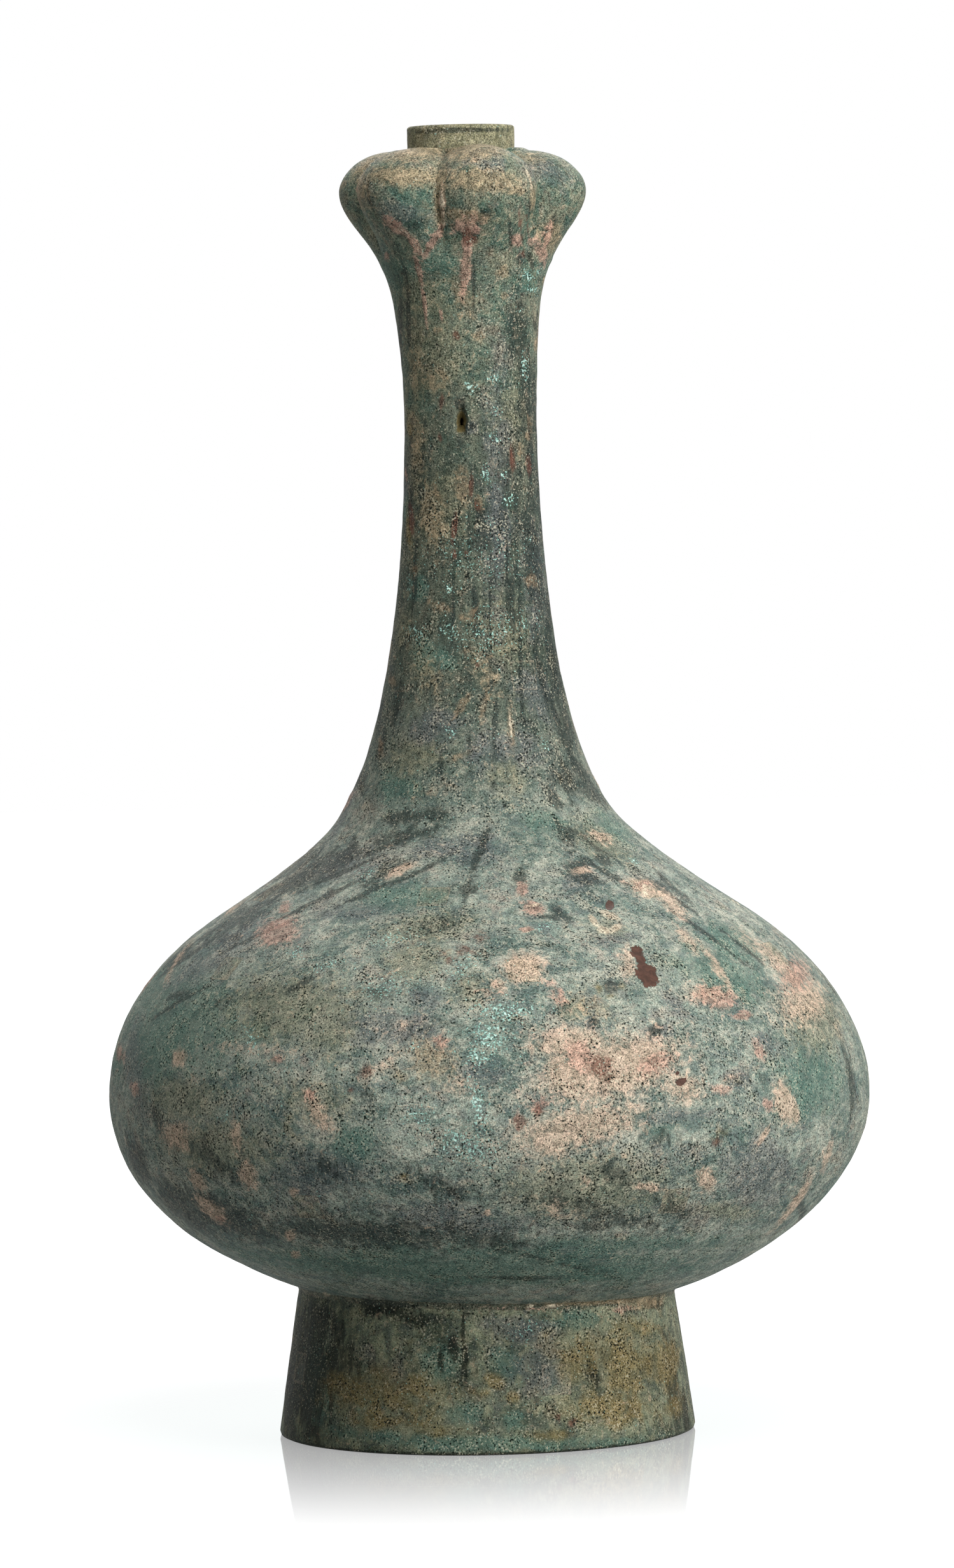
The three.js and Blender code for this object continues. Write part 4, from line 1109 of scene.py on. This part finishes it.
class Graph:
    """Short calls for wiring a node tree."""

    def __init__(self, tree):
        self.tree = tree

    def put(self, socket, value):
        if isinstance(value, bpy.types.NodeSocket):
            self.tree.links.new(value, socket)
        else:
            socket.default_value = value

    def node(self, kind, inputs=None, **settings):
        made = self.tree.nodes.new(kind)
        for name, value in settings.items():
            setattr(made, name, value)
        for name, value in (inputs or {}).items():
            self.put(made.inputs[name], value)
        return made

    def math(self, operation, first, second=0.0, third=0.0):
        made = self.node("ShaderNodeMath", {0: first, 1: second, 2: third}, operation=operation)
        return made.outputs[0]

    def mix(self, share, below, above):
        made = self.node("ShaderNodeMix", {0: share, 6: below, 7: above}, data_type="RGBA")
        return made.outputs[2]

    def step(self, value, low, high):
        inputs = {"Value": value, "From Min": low, "From Max": high}
        made = self.node("ShaderNodeMapRange", inputs, interpolation_type="SMOOTHSTEP")
        return made.outputs[0]

    def place(self, tallness=1.0, shift=0.0):
        """Object coordinates in millimetres, squeezed in height so that features run taller."""
        here = self.node("ShaderNodeTexCoord").outputs["Object"]
        squeeze = self.math("DIVIDE", METRE, tallness)
        scale = self.node("ShaderNodeCombineXYZ", {"X": METRE, "Y": METRE, "Z": squeeze}).outputs[0]
        sized = self.node("ShaderNodeVectorMath", {0: here, 1: scale}, operation="MULTIPLY").outputs[0]
        moved = self.node("ShaderNodeVectorMath", {0: sized, 1: (shift, shift, shift)}, operation="ADD")
        return moved.outputs[0]

    def cloud(self, place, size, detail, rough=0.6, twist=0.0):
        scale = self.math("DIVIDE", 1.0, size)
        inputs = {"Vector": place, "Scale": scale, "Detail": detail, "Roughness": rough}
        inputs["Distortion"] = twist
        return self.node("ShaderNodeTexNoise", inputs).outputs[0]

    def mark(self, name):
        return self.node("ShaderNodeAttribute", attribute_name=name).outputs["Fac"]

    def group(self, tree, inputs):
        made = self.tree.nodes.new("ShaderNodeGroup")
        made.node_tree = tree
        for name, value in inputs.items():
            self.put(made.inputs[name], value)
        return made


def fresh_graph(holder):
    """The emptied node tree of a material or a world."""
    holder.use_nodes = True
    holder.node_tree.nodes.clear()
    return Graph(holder.node_tree)


def new_group(name, inputs, outputs):
    """An empty group with these sockets: a graph, its inputs by name, and its output node."""
    tree = bpy.data.node_groups.new(name, "ShaderNodeTree")
    for title, value in inputs.items():
        kind = "NodeSocketColor" if isinstance(value, tuple) else "NodeSocketFloat"
        tree.interface.new_socket(title, in_out="INPUT", socket_type=kind).default_value = value
    for title, kind in outputs.items():
        tree.interface.new_socket(title, in_out="OUTPUT", socket_type=f"NodeSocket{kind}")
    given = tree.nodes.new("NodeGroupInput")
    return Graph(tree), given.outputs, tree.nodes.new("NodeGroupOutput").inputs


# What a group lies over where nothing is given
UNDER_GREY = colour(100, 110, 100)

# Tallness and shift of each chance value, then its size, detail, roughness and twist
CHANCES = {
    "Coarse": ((1.0, 57.0), (7.0, 8.0, 0.68, 0.6)),
    "Medium": ((1.0, 211.0), (2.4, 6.0, 0.72, 0.8)),
    "Tall": ((3.0, 330.0), (3.0, 6.0, 0.7, 0.5)),
    "Crumb": ((1.0, 13.0), (0.4, 3.0, 0.8, 0.0)),
}


def chance_group():
    """The random values that all finishes break up with, shared so that a finish stays quick."""
    graph, _, out = new_group("Patina chance", {}, {name: "Float" for name in CHANCES})
    for name, (place, look) in CHANCES.items():
        graph.put(out[name], graph.cloud(graph.place(*place), *look))
    return graph.tree


def clouds_group():
    """Five colours of patina drifting into one another."""
    inputs = {"Deep": colour(60, 80, 70), "Middle": colour(100, 115, 100), "Pale": colour(150, 145, 120),
              "Warm": colour(150, 120, 100), "Cool": colour(90, 96, 96), "Size": 20.0, "Tallness": 1.0,
              "Coarse": 0.5}
    graph, given, out = new_group("Patina clouds", inputs, {"Colour": "Color"})
    wide = graph.cloud(graph.place(given["Tallness"]), given["Size"], detail=8.0, rough=0.68, twist=0.8)
    size = graph.math("MULTIPLY", given["Size"], 0.45)
    shifted = graph.place(given["Tallness"], shift=340.0)
    small = graph.cloud(shifted, size, detail=8.0, rough=0.74, twist=0.8)
    tone = graph.mix(graph.step(wide, 0.36, 0.62), given["Deep"], given["Middle"])
    tone = graph.mix(graph.math("MULTIPLY", graph.step(small, 0.46, 0.7), 0.7), tone, given["Pale"])
    tone = graph.mix(graph.math("MULTIPLY", graph.step(small, 0.5, 0.3), 0.7), tone, given["Cool"])
    warm = graph.math("ADD", graph.math("SUBTRACT", wide, small), given["Coarse"])
    tone = graph.mix(graph.math("MULTIPLY", graph.step(warm, 0.5, 0.8), 0.55), tone, given["Warm"])
    shifted = graph.place(given["Tallness"], shift=620.0)
    patch = graph.cloud(shifted, 3.6, detail=4.0, rough=0.6, twist=0.6)
    tone = graph.mix(graph.math("MULTIPLY", graph.step(patch, 0.5, 0.6), 0.4), tone, given["Cool"])
    tone = graph.mix(graph.math("MULTIPLY", graph.step(patch, 0.46, 0.38), 0.35), tone, given["Pale"])
    graph.put(out["Colour"], tone)
    return graph.tree


def mark_group():
    """Lays one kind of mark over a colour, broken up by a chance value."""
    inputs = {"Under": UNDER_GREY, "Field": 0.0, "Chance": 0.5, "Crumb": 0.5,
              "Mark": colour(190, 160, 130), "Second": colour(150, 120, 100), "Ragged": 1.0, "Edge": 0.12,
              "Cover": 0.9}
    graph, given, out = new_group("Patina mark", inputs, {"Colour": "Color", "Mask": "Float"})
    stray = graph.math("MULTIPLY", graph.math("SUBTRACT", given["Chance"], 0.5), given["Ragged"])
    crumb = graph.math("MULTIPLY", graph.math("SUBTRACT", given["Crumb"], 0.5), given["Ragged"])
    total = graph.math("MULTIPLY_ADD", stray, 2.0, graph.math("MULTIPLY_ADD", crumb, 0.3, given["Field"]))
    low = graph.math("SUBTRACT", 0.5, given["Edge"])
    high = graph.math("ADD", 0.5, given["Edge"])
    mask = graph.math("MULTIPLY", graph.step(total, low, high), given["Cover"])
    tone = graph.mix(graph.step(given["Chance"], 0.4, 0.6), given["Second"], given["Mark"])
    graph.put(out["Colour"], graph.mix(mask, given["Under"], tone))
    graph.put(out["Mask"], mask)
    return graph.tree


def streaks_group():
    """Runs of another colour, tall where water ran down and flat where the surface was brushed."""
    inputs = {"Under": UNDER_GREY, "Streak": colour(60, 70, 65), "Size": 3.0, "Tallness": 12.0,
              "Amount": 0.6, "Coarse": 0.5}
    graph, given, out = new_group("Patina streaks", inputs, {"Colour": "Color"})
    shifted = graph.place(given["Tallness"], shift=500.0)
    run = graph.cloud(shifted, given["Size"], detail=5.0, rough=0.62, twist=0.2)
    broken = graph.math("MULTIPLY_ADD", graph.math("SUBTRACT", given["Coarse"], 0.5), 0.6, run)
    mask = graph.math("MULTIPLY", graph.step(broken, 0.5, 0.66), given["Amount"])
    graph.put(out["Colour"], graph.mix(mask, given["Under"], given["Streak"]))
    return graph.tree


def grain_group():
    """The patina's fine grain: lighter and darker crumbs, pale flecks and clusters of ragged pits."""
    inputs = {"Under": UNDER_GREY, "Light": colour(206, 200, 176), "Dark": colour(26, 32, 28),
              "Coarse": 0.5, "Medium": 0.5, "Crumb": 0.5, "Strength": 0.5, "Pits": 0.5}
    graph, given, out = new_group("Patina grain", inputs, {"Colour": "Color", "Height": "Float"})
    crisp = graph.step(given["Crumb"], 0.34, 0.66)
    both = graph.math("MULTIPLY_ADD", crisp, 1.7, graph.math("MULTIPLY", given["Medium"], 2.5))
    swing = graph.math("MULTIPLY", graph.math("SUBTRACT", both, 2.1), given["Strength"])
    gain = graph.math("MAXIMUM", graph.math("ADD", swing, 1.0), 0.2)
    scaled = graph.node("ShaderNodeVectorMath", {0: given["Under"], "Scale": gain}, operation="SCALE")
    spot = graph.cloud(graph.place(shift=800.0), 0.52, detail=1.0, rough=0.4)
    gather = graph.math("MULTIPLY", graph.math("SUBTRACT", given["Coarse"], 0.5), 0.5)
    fleck = graph.step(graph.math("SUBTRACT", gather, spot), -0.35, -0.3)
    tone = graph.mix(graph.math("MULTIPLY", fleck, 0.6), scaled.outputs[0], given["Light"])
    limit = graph.math("MULTIPLY_ADD", given["Pits"], -0.1, 0.73)
    pit = graph.step(graph.math("ADD", gather, spot), limit, graph.math("ADD", limit, 0.03))
    graph.put(out["Colour"], graph.mix(pit, tone, given["Dark"]))
    rise = graph.math("MULTIPLY_ADD", given["Medium"], 1.2, graph.math("MULTIPLY", given["Crumb"], 0.4))
    graph.put(out["Height"], graph.math("SUBTRACT", rise, pit))
    return graph.tree


def malachite_group():
    """Bright specks, thick where their field is strong and rare elsewhere."""
    inputs = {"Under": UNDER_GREY, "Field": 0.0, "Speck": colour(140, 192, 178),
              "Core": colour(212, 234, 224)}
    graph, given, out = new_group("Malachite specks", inputs, {"Colour": "Color", "Mask": "Float"})
    spot = graph.cloud(graph.place(shift=91.0), 0.66, detail=2.0)
    level = graph.math("MULTIPLY_ADD", given["Field"], 0.17, spot)
    mask = graph.step(level, 0.7, 0.73)
    tone = graph.mix(graph.step(level, 0.74, 0.82), given["Speck"], given["Core"])
    graph.put(out["Colour"], graph.mix(mask, given["Under"], tone))
    graph.put(out["Mask"], mask)
    return graph.tree


CHANCE = chance_group()
CLOUDS = clouds_group()
MARK = mark_group()
STREAKS = streaks_group()
GRAIN = grain_group()
MALACHITE = malachite_group()

# Each kind of mark: main and second colour, what breaks it up, raggedness, edge, cover
MARK_LOOKS = {
    # Besides patina, the dark look paints shade in the cloves' grooves, on their lower halves and at the
    # head's right edge; khaki and buff also paint light on the neck's left side.
    "teal": (colour(95, 128, 114), colour(70, 98, 88), "Coarse", 1.1, 0.3, 0.68),
    "khaki": (colour(140, 135, 108), colour(110, 110, 88), "Medium", 1.0, 0.34, 0.52),
    "slate": (colour(104, 107, 108), colour(76, 84, 87), "Coarse", 1.1, 0.3, 0.58),
    "dark": (colour(46, 55, 52), colour(32, 38, 36), "Tall", 1.2, 0.26, 0.74),
    "umber": (colour(152, 126, 98), colour(122, 106, 84), "Medium", 1.0, 0.36, 0.46),
    "ochre": (colour(144, 124, 78), colour(114, 103, 68), "Coarse", 1.0, 0.4, 0.64),
    "buff": (colour(168, 147, 117), colour(140, 124, 98), "Medium", 0.9, 0.36, 0.68),
    "tan": (colour(209, 180, 157), colour(182, 158, 134), "Medium", 1.0, 0.34, 0.7),
    "pink": (colour(192, 152, 134), colour(150, 116, 102), "Medium", 1.0, 0.28, 0.66),
    "red": (colour(112, 70, 57), colour(84, 54, 46), "Tall", 0.9, 0.28, 0.7),
    "pale": (colour(216, 204, 180), colour(190, 170, 144), "Medium", 0.5, 0.2, 0.7),
}
# On the foot the dark look is darker and covers more: over the foot's left side it is painted shade, laid
# with the real dark streaks there, and at its lowest edge it is a painted contact shadow.
FOOT_DARK_AND_SHADE = (colour(36, 42, 36), colour(24, 28, 24), "Tall", 1.2, 0.26, 0.84)
FOOT_LOOKS = MARK_LOOKS | {"dark": FOOT_DARK_AND_SHADE}
COLLAR_LOOKS = {kind: MARK_LOOKS[kind] for kind in ("khaki", "dark", "ochre")}
SPACER_EDGE = (colour(196, 178, 154), colour(150, 138, 120), "Coarse", 0.8, 0.3, 0.34)
SPACER_LOOKS = MARK_LOOKS | {"edge": SPACER_EDGE}

# Bare metal, the faces inside the walls, and the earth in the hole, over everything else
BARE_LOOK = (colour(86, 62, 53), colour(68, 51, 44), "Medium", 0.8, 0.02, 1.0)
INSIDE_LOOK = (colour(146, 131, 88), colour(126, 113, 77), "Coarse", 0.0, 0.1, 0.95)
EARTH_LOOK = (colour(92, 82, 50), colour(66, 58, 37), "Medium", 0.5, 0.4, 1.0)

# The five colours of a casting's clouds (deep, middle, pale, warm, cool), the clouds' size and tallness,
# then the amount and tallness of its streaks
BELLY_TONES = (
    (88, 109, 100), (143, 155, 142), (194, 190, 173), (178, 162, 145), (96, 106, 106),
    22.0, 0.7, 0.3, 0.3,
)
NECK_TONES = (
    (62, 75, 64), (92, 101, 88), (118, 119, 102), (116, 101, 83), (58, 68, 64),
    12.0, 2.0, 0.6, 12.0,
)
HEAD_TONES = (
    (74, 102, 88), (116, 126, 108), (158, 150, 126), (152, 128, 108), (82, 97, 91),
    13.0, 1.0, 0.25, 4.0,
)
FOOT_TONES = (
    (70, 80, 66), (131, 140, 116), (162, 158, 130), (136, 117, 84), (78, 86, 82),
    14.0, 1.0, 0.5, 9.0,
)
COLLAR_TONES = (
    (114, 112, 86), (150, 147, 117), (174, 167, 138), (170, 155, 124), (104, 107, 90),
    7.0, 1.0, 0.2, 4.0,
)
SOLDER_TONES = (
    (70, 80, 68), (108, 113, 96), (144, 138, 116), (144, 122, 104), (72, 78, 72),
    6.0, 0.6, 0.2, 1.0,
)
LOOP_TONES = (
    (52, 58, 46), (84, 86, 68), (110, 104, 80), (112, 90, 66), (50, 54, 50),
    6.0, 1.0, 0.3, 4.0,
)
SPACER_TONES = (
    (108, 122, 106), (146, 146, 126), (182, 170, 146), (184, 156, 136), (104, 110, 106),
    7.0, 1.0, 0.2, 2.0,
)


def cast_colour(graph, chance, tones):
    """The clouds and streaks of one casting, before any marks."""
    *colours, size, tallness, amount, streak_tallness = tones
    names = ("Deep", "Middle", "Pale", "Warm", "Cool")
    inputs = {name: colour(*tone) for name, tone in zip(names, colours)}
    streak = inputs["Cool"]
    inputs |= {"Size": size, "Tallness": tallness, "Coarse": chance["Coarse"]}
    tone = graph.group(CLOUDS, inputs).outputs["Colour"]
    inputs = {"Under": tone, "Streak": streak, "Amount": amount, "Tallness": streak_tallness,
              "Coarse": chance["Coarse"]}
    return graph.group(STREAKS, inputs).outputs["Colour"]


def lay_mark(graph, chance, tone, kind, look):
    main, second, breaker, ragged, edge, cover = look
    inputs = {"Under": tone, "Field": graph.mark(kind), "Chance": chance[breaker], "Crumb": chance["Crumb"],
              "Mark": main, "Second": second, "Ragged": ragged, "Edge": edge, "Cover": cover}
    return graph.group(MARK, inputs)


def grained(graph, chance, tone, grain, pits):
    """The grain over a colour: calmer on teal, with fewer pits on the head and more on khaki."""
    strength = graph.math("ADD", graph.mark("rough"), grain)
    strength = graph.math("MULTIPLY_ADD", graph.mark("teal"), -0.3, strength)
    pitting = graph.math("MULTIPLY_ADD", graph.mark("head"), -0.45, pits)
    pitting = graph.math("MULTIPLY_ADD", graph.mark("khaki"), 0.35, pitting)
    inputs = {"Under": tone, "Strength": graph.math("MAXIMUM", strength, 0.2), "Pits": pitting,
              "Coarse": chance["Coarse"], "Medium": chance["Medium"], "Crumb": chance["Crumb"]}
    return graph.group(GRAIN, inputs).outputs


def shade(graph, tone, rise, specks, bare):
    """The shader, with relief from the grain and the specks. Bare metal is smoother than its crust."""
    height = graph.math("MULTIPLY_ADD", specks, 0.6, rise)
    height = graph.math("MULTIPLY", height, graph.math("MULTIPLY_ADD", bare, -0.85, 1.0))
    bump = graph.node("ShaderNodeBump", {"Height": height, "Strength": 0.8, "Distance": 0.0009})
    rough = graph.math("MULTIPLY_ADD", rise, -0.14, 0.7)
    rough = graph.math("MULTIPLY_ADD", bare, -0.2, rough)
    inputs = {"Base Color": tone, "Roughness": rough, "Specular IOR Level": 0.05}
    inputs["Normal"] = bump.outputs[0]
    shader = graph.node("ShaderNodeBsdfPrincipled", inputs)
    graph.node("ShaderNodeOutputMaterial", {"Surface": shader.outputs[0]})


def patina(name, tones, zones=(), grain=0.8, pits=0.8, looks=MARK_LOOKS):
    """A casting's finish: its own clouds, fading into those of its neighbours, under the marks."""
    material = bpy.data.materials.new(name)
    graph = fresh_graph(material)
    chance = graph.group(CHANCE, {}).outputs
    tone = cast_colour(graph, chance, tones)
    for zone, zone_tones in zones:
        tone = graph.mix(graph.mark(zone), tone, cast_colour(graph, chance, zone_tones))
    for kind, look in looks.items():
        tone = lay_mark(graph, chance, tone, kind, look).outputs["Colour"]
    surface = grained(graph, chance, tone, grain, pits)
    specks = graph.group(MALACHITE, {"Under": surface["Colour"], "Field": graph.mark("malachite")}).outputs
    bare = lay_mark(graph, chance, specks["Colour"], "bare", BARE_LOOK).outputs
    tone = lay_mark(graph, chance, bare["Colour"], "inside", INSIDE_LOOK).outputs["Colour"]
    tone = lay_mark(graph, chance, tone, "earth", EARTH_LOOK).outputs["Colour"]
    shade(graph, tone, surface["Height"], specks["Mask"], bare["Mask"])
    return material


BODY_ZONES = (("neck", NECK_TONES), ("head", HEAD_TONES))
BODY = patina("body_patina", BELLY_TONES, BODY_ZONES, grain=0.67)
FINISHES = {
    "foot_ring": patina("foot_patina", FOOT_TONES, grain=0.6, looks=FOOT_LOOKS),
    "belly": BODY,
    "neck_tube": BODY,
    "garlic_head": BODY,
    "mouth_collar": patina("collar_patina", COLLAR_TONES, grain=0.5, pits=0.4, looks=COLLAR_LOOKS),
    "foot_solder": patina("solder_crust", SOLDER_TONES),
    "base_loop": patina("loop_patina", LOOP_TONES),
    "spacer": patina("spacer_patina", SPACER_TONES, (("neck", NECK_TONES),), looks=SPACER_LOOKS),
}


def finish_piece(piece, node, slot, line=None, wall=0.0):
    weather(piece, line, wall)
    piece.data.materials.clear()
    piece.data.materials.append(FINISHES[slot])
    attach(piece, "root")
    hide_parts(node)


def make_vase():
    walls = {"foot_ring": (foot_ring(), foot_line(), FOOT_WALL)}
    walls["belly"] = (belly(), belly_line(), BELLY_WALL)
    walls["neck_tube"] = (neck_tube(), neck_line(), NECK_WALL)
    for node, (casting, line, wall) in walls.items():
        for spacer_piece in cut_spacers(casting, node):
            finish_piece(spacer_piece, spacer_piece.name.removesuffix("_square"), "spacer", line, wall)
    pierce_neck(walls["neck_tube"][0])
    for node, (casting, line, wall) in walls.items():
        finish_piece(casting, node, node, line, wall)
    others = {"garlic_head": garlic_head(), "mouth_collar": mouth_collar()}
    others |= {"foot_solder": foot_solder(), "base_loop": base_loop()}
    for node, piece in others.items():
        finish_piece(piece, node, node)


# The surroundings, in metres: the floor's side, the softboxes' height, distance and aim, and the
# strength of the light that comes from everywhere
FLOOR_SIDE = 8.0
LAMP_HEIGHT = 1.1
LAMP_DISTANCE = 1.9
LAMP_AIM = 0.17
AMBIENT = 0.17


def seen_directly(graph):
    """1 for rays from the camera or from a glossy surface, and the sockets with every kind of ray."""
    rays = graph.node("ShaderNodeLightPath").outputs
    return graph.math("MAXIMUM", rays["Is Camera Ray"], rays["Is Glossy Ray"]), rays


def floor():
    """White to the camera and to mirror-like surfaces, with the vase's shadow, and glossy close to it."""
    piece = add_piece("floor", [(x, y, 0) for x, y in square(FLOOR_SIDE)], [(0, 1, 2, 3)])
    material = bpy.data.materials.new("white_acrylic")
    graph = fresh_graph(material)
    here = graph.node("ShaderNodeTexCoord").outputs["Object"]
    flat = graph.node("ShaderNodeVectorMath", {0: here}, operation="LENGTH").outputs["Value"]
    sheen = graph.math("MULTIPLY", graph.step(flat, 0.25, 0.05), 0.58)
    board = graph.node("ShaderNodeBsdfDiffuse", {"Color": (0.23, 0.23, 0.23, 1)}).outputs[0]
    strength = graph.math("MULTIPLY_ADD", graph.step(flat, 0.1, 0.6), 0.16, 0.84)
    glow = graph.node("ShaderNodeEmission", {"Color": (1, 1, 1, 1), "Strength": strength}).outputs[0]
    lit = graph.node("ShaderNodeAddShader", {0: board, 1: glow}).outputs[0]
    gloss = graph.node("ShaderNodeBsdfGlossy", {"Color": (0.95, 1, 0.99, 1), "Roughness": 0.04}).outputs[0]
    shiny = graph.node("ShaderNodeMixShader", {0: sheen, 1: lit, 2: gloss}).outputs[0]
    dull = graph.node("ShaderNodeBsdfDiffuse", {"Color": (0.3, 0.32, 0.32, 1)}).outputs[0]
    seen, _ = seen_directly(graph)
    both = graph.node("ShaderNodeMixShader", {0: seen, 1: dull, 2: shiny}).outputs[0]
    graph.node("ShaderNodeOutputMaterial", {"Surface": both})
    piece.data.materials.append(material)


def surroundings():
    world = bpy.data.worlds.new("studio")
    bpy.context.scene.world = world
    graph = fresh_graph(world)
    seen, rays = seen_directly(graph)
    seen = graph.math("MAXIMUM", seen, rays["Is Transmission Ray"])
    strength = graph.math("MULTIPLY_ADD", seen, 1 - AMBIENT, AMBIENT)
    back = graph.node("ShaderNodeBackground", {"Color": (1, 1, 1, 1), "Strength": strength})
    graph.node("ShaderNodeOutputWorld", {"Surface": back.outputs[0]})


def softbox(name, azimuth, elevation, width, power):
    lamp = bpy.data.lights.new(name, "AREA")
    lamp.shape = "RECTANGLE"
    lamp.size = width
    lamp.size_y = LAMP_HEIGHT
    lamp.energy = power
    holder = linked(name, lamp)
    turn, lift = math.radians(azimuth), math.radians(elevation)
    middle = Vector((0, 0, LAMP_AIM))
    way = Vector((math.sin(turn) * math.cos(lift), -math.cos(turn) * math.cos(lift), math.sin(lift)))
    holder.location = middle + LAMP_DISTANCE * way
    holder.rotation_euler = way.to_track_quat("Z", "Y").to_euler()


def camera():
    forward, right, up = camera_axes()
    lens = bpy.data.cameras.new("camera")
    lens.sensor_fit = "VERTICAL"
    lens.sensor_height = CAMERA_SENSOR
    lens.lens = CAMERA_LENS
    lens.clip_end = 50
    holder = linked("camera", lens)
    axes = Matrix((right, up, -forward)).transposed().to_4x4()
    holder.matrix_world = Matrix.Translation(Vector(CAMERA_PLACE * MILLIMETRE)) @ axes
    bpy.context.scene.camera = holder


camera()
floor()
surroundings()
softbox("right", azimuth=50, elevation=9, width=1.1, power=36.5)
softbox("top", azimuth=18, elevation=58, width=1.1, power=32)
softbox("back", azimuth=180, elevation=35, width=1.4, power=26)
make_vase()

bpy.context.scene.view_settings.view_transform = "Standard"
